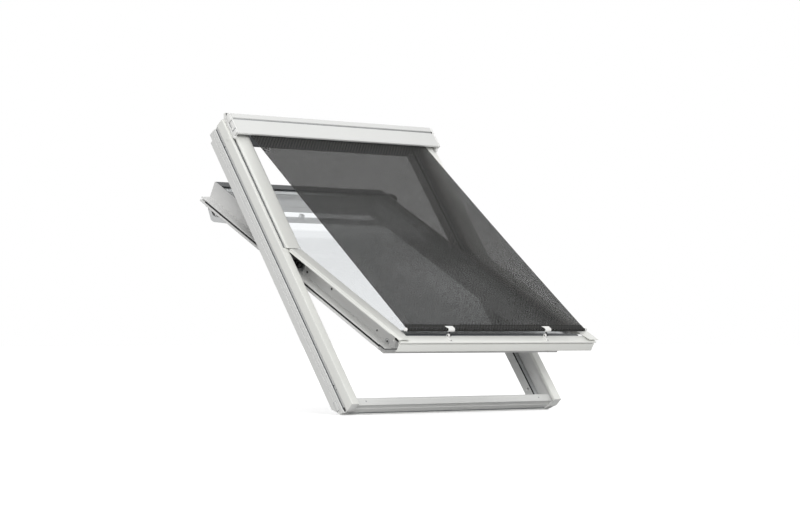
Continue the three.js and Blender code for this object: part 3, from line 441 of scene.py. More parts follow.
def welded(points, quads, ends=()):
    """Merges points that fall together, and drops the sides of faces that shrink to nothing."""
    keys = np.round(points / 1e-7).astype(np.int64)
    _, first, back = np.unique(keys, axis=0, return_index=True, return_inverse=True)
    back = back.reshape(-1)
    kept = []
    for face in back[quads].tolist() + [back[list(end)].tolist() for end in ends]:
        ring = [v for i, v in enumerate(face) if v != face[i - 1]]
        if len(set(ring)) > 2:
            kept.append(ring)
    return points[first], kept


def mesh_object(name, points, faces):
    """A smooth-shaded object of the points and faces, in the scene."""
    mesh = bpy.data.meshes.new(name)
    mesh.from_pydata(points.tolist(), [], faces if isinstance(faces, list) else faces.tolist())
    mesh.validate()
    mesh.polygons.foreach_set("use_smooth", [True] * len(mesh.polygons))
    made = bpy.data.objects.new(name, mesh)
    bpy.context.scene.collection.objects.link(made)
    return made


def closed_piece(name, points, faces, sharp_angle):
    """A closed piece with every face turned outwards, and sharp edges above an angle in degrees."""
    made = mesh_object(name, points, faces)
    work = bmesh.new()
    work.from_mesh(made.data)
    bmesh.ops.recalc_face_normals(work, faces=work.faces[:])
    work.to_mesh(made.data)
    work.free()
    made.data.set_sharp_from_angle(angle=math.radians(sharp_angle))
    return made


def lathe(outline, steps):
    """An outline of (radius, reach) points carried round an axis: x is the reach, y and z the circle."""
    line = np.asarray(outline, float)
    turn = np.linspace(0, TURN, steps, endpoint=False)[None, :]
    radius, reach = line[:, :1], line[:, 1:]
    return np.stack([reach + 0 * turn, radius * np.cos(turn), radius * np.sin(turn)], -1)


def lofted(section, stations):
    """A closed outline of (y, z) points set at each station (x, inset): it shrinks by the inset.

    Each point moves in along the mean of the normals of its two sides, so soft ends stay even.
    """
    line = np.asarray(section, float)
    before, after = np.roll(line, 1, 0), np.roll(line, -1, 0)
    side = after - before
    normal = np.stack([side[:, 1], -side[:, 0]], -1)
    normal /= np.linalg.norm(normal, axis=1)[:, None]
    area = np.sum(line[:, 0] * after[:, 1] - after[:, 0] * line[:, 1])
    normal *= math.copysign(1.0, area)
    x = np.array([s[0] for s in stations])[:, None]
    inset = np.array([s[1] for s in stations])[:, None, None]
    rings = line[None] - normal[None] * inset
    return np.concatenate([np.broadcast_to(x[..., None], rings.shape[:2] + (1,)), rings], -1)


def arc(centre, radius, start, end, steps):
    """Points of an arc about a centre, from one angle to another in degrees."""
    turn = np.radians(np.linspace(start, end, steps + 1))
    return np.stack([centre[0] + radius * np.cos(turn), centre[1] + radius * np.sin(turn)], -1)


def rounded(points, closed=False, steps=4):
    """Rounds the corners of a line of (a, b, radius) points.

    Each corner gives way to a parabola that starts and ends at the radius from it, or at 0.45 of
    the shorter side beside it.
    """
    line = np.asarray(points, float)
    count = len(line)
    soft = []
    for i in range(count):
        corner, radius = line[i, :2], line[i, 2]
        if radius == 0 or (not closed and i in (0, count - 1)):
            soft.append(corner)
            continue
        before, after = line[i - 1, :2] - corner, line[(i + 1) % count, :2] - corner
        reach = min(radius, 0.45 * np.linalg.norm(before), 0.45 * np.linalg.norm(after))
        start = corner + before / np.linalg.norm(before) * reach
        end = corner + after / np.linalg.norm(after) * reach
        for t in np.linspace(0, 1, steps + 1):
            soft.append((1 - t) ** 2 * start + 2 * t * (1 - t) * corner + t**2 * end)
    return np.array(soft)


def folded(line, wall):
    """A closed outline of an even wall to the right of an open line, with mitred corners."""
    line = np.asarray(line, float)
    run = np.diff(line, axis=0)
    run /= np.linalg.norm(run, axis=1)[:, None]
    into = np.concatenate([run[:1], run])
    out = np.concatenate([run, run[-1:]])
    middle = into + out
    middle /= np.linalg.norm(middle, axis=1)[:, None]
    reach = wall / np.sum(middle * into, axis=1)
    back = line + np.stack([middle[:, 1], -middle[:, 0]], -1) * reach[:, None]
    return np.concatenate([line, back[::-1]])


def soft_ends(start, end, radius):
    """Stations of (distance, inset) whose two ends are rounded by a radius."""
    near, far = min(start, end), max(start, end)
    return [
        (near, radius), (near + 0.3 * radius, 0.3 * radius), (near + radius, 0),
        (far - radius, 0), (far - 0.3 * radius, 0.3 * radius), (far, radius),
    ]


def shell(name, rings, place):
    """Closed rings of points joined into one piece, with the first and last ring closed flat."""
    count, around = rings.shape[:2]
    merged, faces = welded(
        place(rings.reshape(-1, 3)),
        grid_faces(count, around, closed_columns=True),
        [range(around), range((count - 1) * around, count * around)],
    )
    return closed_piece(name, merged, faces, FOLD_ANGLE)


def carried(name, outline, stations, place):
    """A closed outline carried along stations of (distance, inset)."""
    return shell(name, lofted(outline, stations), place)


def across(system):
    """Places outlines of (up, out) that were carried across, in millimetres."""
    return lambda points: system(points * MM)


def along(system, trim=None):
    """Places outlines of (across, out) that were carried up the slope, in millimetres.

    trim takes and gives points of (across, up, out), to cut an end at a slant.
    """
    def place(points):
        turned = points[..., [1, 0, 2]]
        return system((trim(turned) if trim else turned) * MM)
    return place


def centred(system, centre, order=(0, 1, 2)):
    """Places turned pieces on a centre in millimetres; order (1, 2, 0) turns the axis outwards."""
    return lambda points: system((points[..., list(order)] + np.asarray(centre, float)) * MM)


def placed(piece, body, slot, *nodes):
    """Gives a finished piece its finish, its body and its slot, and stands it for nodes."""
    piece.data.materials.append(slot_materials()[slot])
    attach(piece, body)
    if nodes:
        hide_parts(*nodes)
    return piece


def spun(name, outline, side, place, steps, body, slot, *nodes, ring=False):
    """An outline of (radius, reach) carried round its axis; a ring's outline closes clear of it."""
    line = [(radius, side * reach) for radius, reach in outline]
    grid = lathe(line, steps)
    merged, faces = welded(place(grid.reshape(-1, 3)), grid_faces(len(line), steps, ring, True))
    made = closed_piece(name, merged, faces, RING_ANGLE if ring else FOLD_ANGLE)
    return placed(made, body, slot, *nodes)


def bent(name, line, wall, ends, lip, place, body, slot, *nodes):
    """An even wall folded to a line with rounded corners, and carried between two ends."""
    made = carried(name, folded(rounded(line), wall), soft_ends(*ends, lip), place)
    return placed(made, body, slot, *nodes)


def strip(name, line, ends, lip, place, body, slot, *nodes, side=1):
    """A closed outline with rounded corners carried between two ends, mirrored for side -1."""
    outline = rounded(line, closed=True) * [side, 1]
    return placed(carried(name, outline, soft_ends(*ends, lip), place), body, slot, *nodes)


def plate(name, low, high, depths, radius, lip, side, system, body, slot, *nodes):
    """A rounded plate between two (up, out) corners, from one depth across to another."""
    line = [(up, out, radius) for up, out in (low, (high[0], low[1]), high, (low[0], high[1]))]
    ends = [side * depth for depth in depths]
    return strip(name, line, ends, lip, across(system), body, slot, *nodes)


# Node helpers
def math_node(tree, kind, first, second=None):
    node = tree.nodes.new("ShaderNodeMath")
    node.operation = kind
    for socket, value in zip(node.inputs, (first, second)):
        if value is None:
            continue
        if isinstance(value, (int, float)):
            socket.default_value = value
        else:
            tree.links.new(value, socket)
    return node.outputs[0]


def group_tree(name, inputs, outputs):
    """A shader node group with named inputs and outputs, and its two end nodes."""
    tree = bpy.data.node_groups.new(name, "ShaderNodeTree")
    for label, kind, value in inputs:
        socket = tree.interface.new_socket(label, in_out="INPUT", socket_type=kind)
        if value is not None:
            socket.default_value = value
    for label, kind in outputs:
        tree.interface.new_socket(label, in_out="OUTPUT", socket_type=kind)
    return tree, tree.nodes.new("NodeGroupInput"), tree.nodes.new("NodeGroupOutput")


def finish_group(name, inputs):
    """A group that gives tone, roughness and height, fed with a vector and the given inputs."""
    common = [("Base", "NodeSocketFloat", 0.4), ("Spread", "NodeSocketFloat", 0.2)]
    return group_tree(
        name,
        [("Vector", "NodeSocketVector", None), *inputs, *common],
        [("Tone", "NodeSocketFloat"), ("Roughness", "NodeSocketFloat"), ("Height", "NodeSocketFloat")],
    )


def finish_outputs(tree, given, out, tone, height):
    """Roughness swings about its base with the tone, by the spread."""
    swing = math_node(tree, "MULTIPLY", math_node(tree, "SUBTRACT", tone, 0.5), given.outputs["Spread"])
    tree.links.new(math_node(tree, "ADD", given.outputs["Base"], swing), out.inputs["Roughness"])
    tree.links.new(tone, out.inputs["Tone"])
    tree.links.new(height, out.inputs["Height"])
    return tree


def grain_group():
    """Fine unevenness of a sprayed or moulded skin: two noises, one for tone and one for relief."""
    if "Surface grain" in bpy.data.node_groups:
        return bpy.data.node_groups["Surface grain"]
    scales = [("Grain scale", "NodeSocketFloat", 900.0), ("Cloud scale", "NodeSocketFloat", 6.0)]
    tree, given, out = finish_group("Surface grain", scales)
    fine = tree.nodes.new("ShaderNodeTexNoise")
    cloud = tree.nodes.new("ShaderNodeTexNoise")
    for noise, scale, detail in ((fine, "Grain scale", 2.0), (cloud, "Cloud scale", 5.0)):
        noise.inputs["Detail"].default_value = detail
        tree.links.new(given.outputs["Vector"], noise.inputs["Vector"])
        tree.links.new(given.outputs[scale], noise.inputs["Scale"])
    return finish_outputs(tree, given, out, cloud.outputs["Fac"], fine.outputs["Fac"])


def brushed_group():
    """Long fine marks across a drawn or rolled metal: noise stretched along one direction."""
    if "Drawn marks" in bpy.data.node_groups:
        return bpy.data.node_groups["Drawn marks"]
    stretch = [("Stretch", "NodeSocketVector", (2.0, 160.0, 160.0))]
    tree, given, out = finish_group("Drawn marks", stretch)
    spread = tree.nodes.new("ShaderNodeVectorMath")
    spread.operation = "MULTIPLY"
    tree.links.new(given.outputs["Vector"], spread.inputs[0])
    tree.links.new(given.outputs["Stretch"], spread.inputs[1])
    noise = tree.nodes.new("ShaderNodeTexNoise")
    noise.inputs["Scale"].default_value = 8.0
    noise.inputs["Detail"].default_value = 4.0
    tree.links.new(spread.outputs[0], noise.inputs["Vector"])
    return finish_outputs(tree, given, out, noise.outputs["Fac"], noise.outputs["Fac"])


def weave_group():
    """Open twill: cosine threads both ways, holes where both are low, and a diagonal of raised threads.

    Warp and weft count the threads, and each wave is the cosine of a count. A hole opens where both
    are below minus the edge. The diagonal is the cosine of (warp - weft) / twill, made a share from
    0 to 1, and the height is the larger wave plus 0.6 of that share.
    """
    if "Open weave" in bpy.data.node_groups:
        return bpy.data.node_groups["Open weave"]
    tree, given, out = group_tree(
        "Open weave",
        [
            ("UV", "NodeSocketVector", None),
            ("Warp pitch", "NodeSocketFloat", 0.00133),
            ("Weft pitch", "NodeSocketFloat", 0.00152),
            ("Twill", "NodeSocketFloat", 8.0),
            ("Edge", "NodeSocketFloat", 0.6),
        ],
        [("Cloth", "NodeSocketFloat"), ("Raised", "NodeSocketFloat"), ("Height", "NodeSocketFloat")],
    )
    split = tree.nodes.new("ShaderNodeSeparateXYZ")
    tree.links.new(given.outputs["UV"], split.inputs[0])
    warp = math_node(tree, "DIVIDE", split.outputs["X"], given.outputs["Warp pitch"])
    weft = math_node(tree, "DIVIDE", split.outputs["Y"], given.outputs["Weft pitch"])
    waves = []
    for count in (warp, weft):
        waves.append(math_node(tree, "COSINE", math_node(tree, "MULTIPLY", count, TURN)))
    edge = math_node(tree, "MULTIPLY", given.outputs["Edge"], -1.0)
    gaps = [math_node(tree, "LESS_THAN", wave, edge) for wave in waves]
    hole = math_node(tree, "MULTIPLY", *gaps)
    tree.links.new(math_node(tree, "SUBTRACT", 1.0, hole), out.inputs["Cloth"])
    slant = math_node(tree, "DIVIDE", math_node(tree, "SUBTRACT", warp, weft), given.outputs["Twill"])
    diagonal = math_node(tree, "COSINE", math_node(tree, "MULTIPLY", slant, TURN))
    raised = math_node(tree, "ADD", math_node(tree, "MULTIPLY", diagonal, 0.5), 0.5)
    tree.links.new(raised, out.inputs["Raised"])
    lifted = math_node(tree, "MULTIPLY", raised, 0.6)
    height = math_node(tree, "ADD", math_node(tree, "MAXIMUM", *waves), lifted)
    tree.links.new(height, out.inputs["Height"])
    return tree


def new_material(name):
    material = bpy.data.materials.new(name)
    material.use_nodes = True
    return material, material.node_tree, material.node_tree.nodes["Principled BSDF"]


def add_group(tree, group, vector, values):
    """A node of a group, fed with its vector and its other values by name."""
    node = tree.nodes.new("ShaderNodeGroup")
    node.node_tree = group
    tree.links.new(vector, node.inputs[0])
    for label, value in values.items():
        node.inputs[label].default_value = value
    return node


def tint(tree, shader, share, low, high):
    """Feeds the base colour with a mix of two colours."""
    mix = tree.nodes.new("ShaderNodeMix")
    mix.data_type = "RGBA"
    mix.inputs["A"].default_value = (*low, 1)
    mix.inputs["B"].default_value = (*high, 1)
    tree.links.new(share, mix.inputs["Factor"])
    tree.links.new(mix.outputs["Result"], shader.inputs["Base Color"])


def relief(tree, shader, height, strength, distance):
    """Feeds the normal with a bump of the height, whose distance is in millimetres."""
    bump = tree.nodes.new("ShaderNodeBump")
    bump.inputs["Strength"].default_value = strength
    bump.inputs["Distance"].default_value = distance * MM
    tree.links.new(height, bump.inputs["Height"])
    tree.links.new(bump.outputs["Normal"], shader.inputs["Normal"])


def finished(name, colour, group, values, dip, strength, distance):
    """A material whose colour, roughness and relief come from a group; its low tone dips."""
    material, tree, shader = new_material(name)
    where = tree.nodes.new("ShaderNodeTexCoord").outputs["Object"]
    node = add_group(tree, group, where, values)
    tint(tree, shader, node.outputs["Tone"], [c * dip for c in colour], colour)
    tree.links.new(node.outputs["Roughness"], shader.inputs["Roughness"])
    relief(tree, shader, node.outputs["Height"], strength, distance)
    return material, shader


def grained(name, colour, roughness, grain=900.0, strength=0.04, coat=0.0):
    """A painted or moulded finish: clouded roughness and tone, and a fine relief."""
    if name in bpy.data.materials:
        return bpy.data.materials[name]
    values = {"Grain scale": grain, "Base": roughness, "Spread": 0.1}
    material, shader = finished(name, colour, grain_group(), values, PAINT_DIP, strength, PAINT_RELIEF)
    shader.inputs["Coat Weight"].default_value = coat
    shader.inputs["Coat Roughness"].default_value = 0.2
    return material


def drawn(name, colour, roughness, stretch):
    """A bare or plated metal with long drawn marks."""
    if name in bpy.data.materials:
        return bpy.data.materials[name]
    values = {"Stretch": stretch, "Base": roughness}
    material, shader = finished(name, colour, brushed_group(), values, METAL_DIP, 0.08, METAL_RELIEF)
    shader.inputs["Metallic"].default_value = 1.0
    return material


def pane_material(name, colour):
    """Clear glass that lets the lamps through: shadow rays pass a plain tinted surface."""
    if name in bpy.data.materials:
        return bpy.data.materials[name]
    material, tree, shader = new_material(name)
    shader.inputs["Base Color"].default_value = (*colour, 1)
    shader.inputs["Roughness"].default_value = 0.0
    shader.inputs["IOR"].default_value = PANE_INDEX
    shader.inputs["Transmission Weight"].default_value = 1.0
    through = tree.nodes.new("ShaderNodeBsdfTransparent")
    through.inputs["Color"].default_value = (*colour, 1)
    ray = tree.nodes.new("ShaderNodeLightPath")
    mix = tree.nodes.new("ShaderNodeMixShader")
    tree.links.new(ray.outputs["Is Shadow Ray"], mix.inputs["Fac"])
    tree.links.new(shader.outputs["BSDF"], mix.inputs[1])
    tree.links.new(through.outputs["BSDF"], mix.inputs[2])
    tree.links.new(mix.outputs["Shader"], tree.nodes["Material Output"].inputs["Surface"])
    return material


def cloth_material():
    """The screen cloth: an open twill of coated yarn, seen through at its holes, with a painted highlight
    on its raised diagonal threads.
    """
    if "Screen cloth" in bpy.data.materials:
        return bpy.data.materials["Screen cloth"]
    cloth, _ = settings()
    material, tree, shader = new_material("Screen cloth")
    where = tree.nodes.new("ShaderNodeUVMap")
    where.uv_map = "cloth"
    weave = add_group(tree, weave_group(), where.outputs["UV"], {
        "Warp pitch": cloth.warp_pitch,
        "Weft pitch": cloth.weft_pitch,
        "Twill": cloth.twill_threads,
        "Edge": math.cos(math.pi * cloth.opening),
    })
    # Painted highlight: the raised diagonal of the twill mixes towards the lighter thread colour
    tint(tree, shader, weave.outputs["Raised"], cloth.thread, cloth.raised_thread_highlight)
    tree.links.new(weave.outputs["Cloth"], shader.inputs["Alpha"])
    relief(tree, shader, weave.outputs["Height"], 0.35, CLOTH_RELIEF)
    shader.inputs["Roughness"].default_value = 0.62
    shader.inputs["Specular IOR Level"].default_value = 0.12
    return material


def slot_materials():
    """The finish of each material slot of the record."""
    _, finish = settings()
    return {
        "white_core": grained("Moulded frame", finish.core, 0.55, 700.0, 0.08),
        "white_metal": grained("Painted covers", finish.cladding, 0.36, coat=0.1),
        "white_sash": grained("Lacquered sash", finish.lacquer, 0.42, strength=0.05),
        "grey_metal": grained("Painted sill", finish.sill, 0.38, coat=0.1),
        "dark_metal": grained("Dark trim", finish.dark, 0.45),
        "bare_metal": drawn("Drawn aluminium", finish.alloy, 0.32, (2.0, 160.0, 160.0)),
        "steel": drawn("Plated steel", finish.zinc, 0.35, (60.0, 60.0, 4.0)),
        "black_metal": grained("Black paint", finish.black_paint, 0.5),
        "black_rubber": grained("Rubber seal", finish.rubber, 0.75, 1500.0, 0.1),
        "clear_glass": pane_material("Window glass", finish.glass),
        "white_plastic": grained("White moulding", finish.moulding, 0.38, 1200.0, 0.05),
        "black_plastic": grained("Black moulding", finish.black_paint, 0.5, 1200.0),
        "screen_fabric": cloth_material(),
    }


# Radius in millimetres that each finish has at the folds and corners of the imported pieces
EDGE_RADIUS = {
    "white_core": 0.8,
    "white_metal": 0.7,
    "white_sash": 0.9,
    "grey_metal": 0.6,
    "dark_metal": 0.5,
    "bare_metal": 0.4,
    "steel": 0.3,
    "black_metal": 0.5,
    "black_rubber": 0.4,
    "clear_glass": 0.3,
    "white_plastic": 0.4,
    "black_plastic": 0.5,
}


class ROOFWINDOW_OT_finishes(bpy.types.Operator):
    """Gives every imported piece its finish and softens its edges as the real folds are"""

    bl_idname = "roof_window.finishes"
    bl_label = "Finishes of the packed pieces"

    def execute(self, context):
        materials = slot_materials()
        for row in frame["record"]["subparts"]:
            node = frame["nodes"][row["node"]]
            slot = row["material_slot"]
            for held in node.material_slots:
                held.material = materials[slot]
            if slot in EDGE_RADIUS:
                soften(node, EDGE_RADIUS[slot])
        return {"FINISHED"}


def soften(node, radius):
    """Merges the loose triangles, joins those of one plane, and rounds the edges between planes."""
    weld = node.modifiers.new("merge", "WELD")
    weld.merge_threshold = WELD_REACH
    flat = node.modifiers.new("planes", "DECIMATE")
    flat.decimate_type = "DISSOLVE"
    flat.angle_limit = math.radians(PLANE_ANGLE)
    edge = node.modifiers.new("edges", "BEVEL")
    edge.width = radius * MM
    edge.segments = 2
    edge.limit_method = "ANGLE"
    edge.angle_limit = math.radians(EDGE_ANGLE)


class ROOFWINDOW_OT_cloth(bpy.types.Operator):
    """Hangs the cloth from the bar to the guide rod, with its hem and its run to the roller"""

    bl_idname = "roof_window.cloth"
    bl_label = "Screen cloth"

    def execute(self, context):
        cloth, _ = settings()
        sheet = screen_sheet(cloth)
        hem = hem_sleeve(cloth)
        leader = cloth_leader(cloth)
        wound_cloth(cloth)
        return {"FINISHED"}


def screen_sheet(cloth):
    """The cloth over the window: a grid on (across, along) that is drawn in and sags at mid span.

    Its level falls by sag times 4 s (1 - s), where s is the share of the span, and less at the
    sides: that times 1 - 0.45 w w, where w runs from -1 to 1 across it. Its half width falls by the
    bow times 4 s (1 - s). The ripple is the sine of 9 w, times s, and fades as e to the -14 s. Past
    the guide rod it narrows evenly.
    """
    side = np.linspace(-1, 1, SHEET_COLUMNS)[None, :]
    run = np.linspace(cloth.start, cloth.span + cloth.tail, SHEET_ROWS)[:, None]
    share = np.clip(run / cloth.span, 0, 1)
    belly = 4 * share * (1 - share)
    past = np.clip((run - cloth.span) / cloth.tail, 0, 1)
    width = cloth.half_width - cloth.bow * belly - TAIL_TAPER * past
    sag = cloth.sag * belly * (1 - SIDE_HOLD * side**2)
    ripple = RIPPLE_HEIGHT * np.sin(RIPPLE_WAVES * side) * share * np.exp(-RIPPLE_FADE * share)
    points = np.stack([width * side, run + 0 * side, cloth.level - sag + ripple], -1)
    sheet = mesh_object(
        "screen_cloth", from_screen(points.reshape(-1, 3)), grid_faces(SHEET_ROWS, SHEET_COLUMNS)
    )
    flat = np.broadcast_arrays(cloth.half_width * side, run)
    add_cloth_uv(sheet, np.stack(flat, -1).reshape(-1, 2))
    placed(sheet, "screen", "screen_fabric", "fabric_sheet")
    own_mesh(sheet)
    return sheet


def wrapped_cloth(name, outline, cloth, place, body, *nodes):
    """A closed outline of cloth carried across, whose pattern follows the outline's own length."""
    reach = cloth.half_width / MM
    stations = np.linspace(-reach, reach, 5)
    made = carried(name, outline, [(x, 0) for x in stations], across(place))
    points = np.zeros(len(made.data.vertices) * 3)
    made.data.vertices.foreach_get("co", points)
    points = points.reshape(-1, 3)
    around = (points - BAR_AXIS) @ CLOTH_ALONG
    add_cloth_uv(made, np.stack([points[:, 0], around], -1))
    return placed(made, body, "screen_fabric", *nodes)


def hem_sleeve(cloth):
    """The hem: a circle round the bar that is left open where the two layers above it join.

    Its ends are the angles whose sine is the layer's level plus and less the ply, over the radius.
    The flap has both layers as one, with a point at its end and a dip along the stitch.
    """
    layer = cloth.level / MM
    top = math.degrees(math.asin((layer + HEM_PLY) / HEM_RADIUS))
    low = math.degrees(math.asin((layer - HEM_PLY) / HEM_RADIUS))
    bar = arc((0, 0), HEM_RADIUS, top, 360 + low, 28)
    flap = [
        (HEM_FLAP, layer - HEM_PLY), (HEM_FLAP + HEM_PLY, layer),
        (HEM_FLAP, layer + HEM_PLY), (HEM_STITCH + 1, layer + HEM_PLY),
        (HEM_STITCH, layer + 0.4 * HEM_PLY), (HEM_STITCH - 1, layer + HEM_PLY),
    ]
    return wrapped_cloth(
        "hem_sewn", np.concatenate([bar, flap]), cloth, from_screen, "draw_bar", "hem_sleeve"
    )


def cloth_leader(cloth):
    """The run of cloth inside the casing, in two straights that meet a little low, up to the roller."""
    low, top = np.array(LEADER_START), np.array(LEADER_END)
    middle = (low + top) / 2 - [0, LEADER_DROP]
    outline = folded(np.array([low, middle, top]), LEADER_WALL)
    return wrapped_cloth("cloth_run", outline, cloth, from_frame, "frame", "fabric_leader")


def wound_cloth(cloth):
    """The cloth on the roller: a spiral whose radius falls by the pitch in each turn."""
    turn = np.linspace(0, ROLL_TURNS * TURN, 49)
    radius = ROLL_RADIUS - ROLL_PITCH * (turn / TURN)
    spiral = np.stack([radius * np.cos(turn), radius * np.sin(turn)], -1) + ROLLER_AXIS
    outline = folded(spiral, -ROLL_WALL)
    return wrapped_cloth("cloth_wound", outline, cloth, from_frame, "roller", "fabric_roll")


def add_cloth_uv(piece, per_vertex):
    """A UV map in metres of cloth, from one pair of values for each vertex."""
    layer = piece.data.uv_layers.new(name="cloth")
    vertices = np.zeros(len(piece.data.loops), np.int32)
    piece.data.loops.foreach_get("vertex_index", vertices)
    layer.data.foreach_set("uv", per_vertex[vertices].astype(np.float32).ravel())


class ROOFWINDOW_OT_bottom_bar(bpy.types.Operator):
    """Makes the bar in the hem, its caps, and the clips and lugs that hold it to the sash"""

    bl_idname = "roof_window.bottom_bar"
    bl_label = "Bottom bar and clips"

    def execute(self, context):
        tube = [(BAR_BORE, BAR_END), (BAR_RADIUS, BAR_END), (BAR_RADIUS, -BAR_END), (BAR_BORE, -BAR_END)]
        place = centred(from_screen, (0, 0, 0))
        spun("bottom_bar_drawn", tube, 1, place, 24, "draw_bar", "bare_metal", "bottom_bar", ring=True)
        for name, side in SIDES:
            bar_cap(name, side)
            screen_clip(name, side)
            screen_lug(name, side)
        return {"FINISHED"}


def bar_cap(name, side):
    """A moulded cap: a spigot, a flange and a low dome, turned round the bar's axis."""
    dome = arc((0, 0), HEM_RADIUS, 0, 90, 8) * [CAP_DOME, 1.0]
    flange = BAR_END + 0.3
    outline = [
        (0, flange - CAP_SPIGOT_LENGTH), (CAP_SPIGOT, flange - CAP_SPIGOT_LENGTH),
        (CAP_SPIGOT, flange), (HEM_RADIUS, flange), (HEM_RADIUS + 0.5, flange + 0.6),
        (HEM_RADIUS + 0.5, flange + 1.8), (HEM_RADIUS, flange + 2.4),
    ]
    outline += [(r, flange + BAR_CAP_LENGTH - 2 + a) for a, r in dome]
    place = centred(from_screen, (0, 0, 0))
    spun(f"bar_end_{name}", outline, side, place, 32, "draw_bar", "white_plastic", f"bar_cap_{name}")


def screen_clip(name, side):
    """A sprung clip: a hook bent round the bar, a finger tab that flares to one side, and a link.

    The hook and tab are one even wall carried across, whose tab end slides sideways with its rise.
    """
    centre = side * CLIP_AT + CLIP_SHIFT
    hook = arc(BAR_IN_SASH, HEM_RADIUS + 0.3, HOOK_START, HOOK_END, 20)
    tab = hook[-1] + np.array(TAB_LINE)
    outline = folded(np.concatenate([hook, tab]), -CLIP_WALL)
    rise = np.clip((outline[:, 0] - hook[-1][0]) / TAB_LENGTH, 0, 1)

    def flared(points):
        share = np.tile(rise, len(points) // len(rise))
        left = np.clip((centre + CLIP_HALF - points[:, 0]) / (2 * CLIP_HALF), 0, 1)
        shifted = points.copy()
        shifted[:, 0] -= share * (TAB_SHIFT + TAB_FLARE * left)
        return from_sash(shifted * MM)

    stations = soft_ends(centre - CLIP_HALF, centre + CLIP_HALF, 0.4)
    hooked = carried(f"clip_hook_{name}", outline, stations, flared)
    placed(hooked, f"clip_{name}", "white_plastic", f"screen_clip_{name}")
    link = [
        (BAR_IN_SASH[0] - 2.5, BAR_IN_SASH[1] - HEM_RADIUS - 0.2, 0),
        (LUG_AXIS[0] + 1.6, LUG_AXIS[1] + 4, 0), (LUG_AXIS[0] + 1.2, LUG_AXIS[1], 0),
    ]
    ends = (side * CLIP_AT - LINK_HALF, side * CLIP_AT + LINK_HALF)
    bent(
        f"clip_link_{name}", link, LINK_WALL, ends, 0.3, across(from_sash), f"clip_{name}", "black_plastic"
    )


def screen_lug(name, side):
    """A lug of the clip: a ring turned round the pin, a folded foot with a dark slot, and the pin."""
    centre = side * CLIP_AT + LUG_SHIFT
    ring = [
        (LUG_PIN, -LUG_HALF), (4.4, -LUG_HALF), (5, -LUG_HALF + 0.6), (5, LUG_HALF - 0.6),
        (4.4, LUG_HALF), (LUG_PIN, LUG_HALF),
    ]
    place = centred(from_sash, (centre, *LUG_AXIS))
    spun(
        f"lug_ring_{name}", ring, 1, place, 28, "sash", "white_plastic", f"screen_lug_{name}", ring=True
    )
    foot_ends = [centre + end for end in LUG_FOOT_ENDS]
    bent(
        f"lug_foot_{name}", LUG_FOOT, -LUG_FOOT_WALL, foot_ends, 0.5, across(from_sash),
        "sash", "white_plastic",
    )
    slot_ends = [centre + end for end in LUG_SLOT_ENDS]
    bent(
        f"lug_slot_{name}", LUG_SLOT, -LUG_SLOT_WALL, slot_ends, 0.15, across(from_sash),
        "sash", "black_plastic",
    )
    reach = 2 * LUG_HALF + 8
    pin = [(0, -0.4), (LUG_PIN - 0.4, -0.4), (LUG_PIN, 0), (LUG_PIN, reach), (0, reach)]
    place = centred(from_sash, (centre - LUG_HALF, *LUG_AXIS))
    spun(f"lug_pin_{name}", pin, 1, place, 20, "sash", "black_plastic")


class ROOFWINDOW_OT_claddings(bpy.types.Operator):
    """Folds the sheet over the frame, the sash and the head, with the bend radii of the real sheet"""

    bl_idname = "roof_window.claddings"
    bl_label = "Folded claddings"

    def execute(self, context):
        for name, side in SIDES:
            side_cladding(name, side)
            upper_nosing(name, side)
            lower_cover(name, side)
        systems = {"frame": across(from_frame), "sash": across(from_sash)}
        for name, line, wall, half, lip, body, *rest in SHEETS:
            bent(name, line, wall, (-half, half), lip, systems[body], body, *rest)
        for name, outline, half, lip, body, *rest in STRIPS:
            strip(name, outline, (-half, half), lip, systems[body], body, *rest)
        return {"FINISHED"}


def side_cladding(name, side):
    """Front strip and outer band: below the pivot the strip is wide, above it a gap follows it."""
    lower = folded(rounded(CLADDING_BELOW, steps=6), CLADDING_WALL)
    upper = folded(rounded(CLADDING_ABOVE, steps=6), CLADDING_WALL)
    rings = np.stack([
        np.insert((1 - share) * lower + share * upper, 1, up, axis=1) * [side, 1, 1]
        for up, share in CLADDING_STATIONS
    ])
    rings[..., 1] = np.maximum(rings[..., 1], CLADDING_FOOT + CLADDING_SLANT * rings[..., 2])
    made = shell(f"cladding_folded_{name}", rings, lambda points: from_frame(points * MM))
    placed(made, "frame", "white_metal", f"side_cladding_{name}")


def upper_nosing(name, side):
    """The flared end of the upper cover, which laps over the upper end of the lower cover."""
    def lapped(points):
        lifted = points.copy()
        share = np.clip((NOSING_START - points[..., 1]) / NOSING_RUN, 0, 1)
        least = NOSING_FLOOR + NOSING_RISE * share
        lifted[..., 2] = np.maximum(points[..., 2], least) + NOSING_LIFT * share
        return lifted

    outline = folded(rounded(NOSING_LINE), NOSING_WALL) * [side, 1]
    place = along(from_frame, lapped)
    placed(carried(f"cover_nosing_{name}", outline, NOSING_STATIONS, place), "frame", "white_metal")


def lower_cover(name, side):
    """Cover beside the glass: a low crown with a bead along its outer edge and a slanted tail."""
    def trimmed(points):
        cut = points.copy()
        reach, up = np.abs(points[..., 0]), points[..., 1]
        slant = COVER_INNER + np.clip((COVER_TAIL - up) / COVER_TAIL_RUN, 0, 1) * COVER_SLANT
        reach = np.where(up < COVER_TAIL, np.maximum(reach, slant), reach)
        cut[..., 0] = side * np.minimum(reach, np.where(up > COVER_TIP_START, COVER_TIP, COVER_OUTER))
        least = COVER_DEEP + np.clip((COVER_TAIL - up) / COVER_DEEP_RUN, 0, 1) * COVER_DEEP_RISE
        cut[..., 2] = np.maximum(points[..., 2], least)
        return cut

    outline = folded(rounded(COVER_LINE), COVER_WALL) * [side, 1]
    stations = [(up, 0) for up in COVER_STATIONS]
    made = carried(f"cover_beaded_{name}", outline, stations, along(from_sash, trimmed))
    placed(made, "sash", "white_metal", f"lower_cover_{name}")


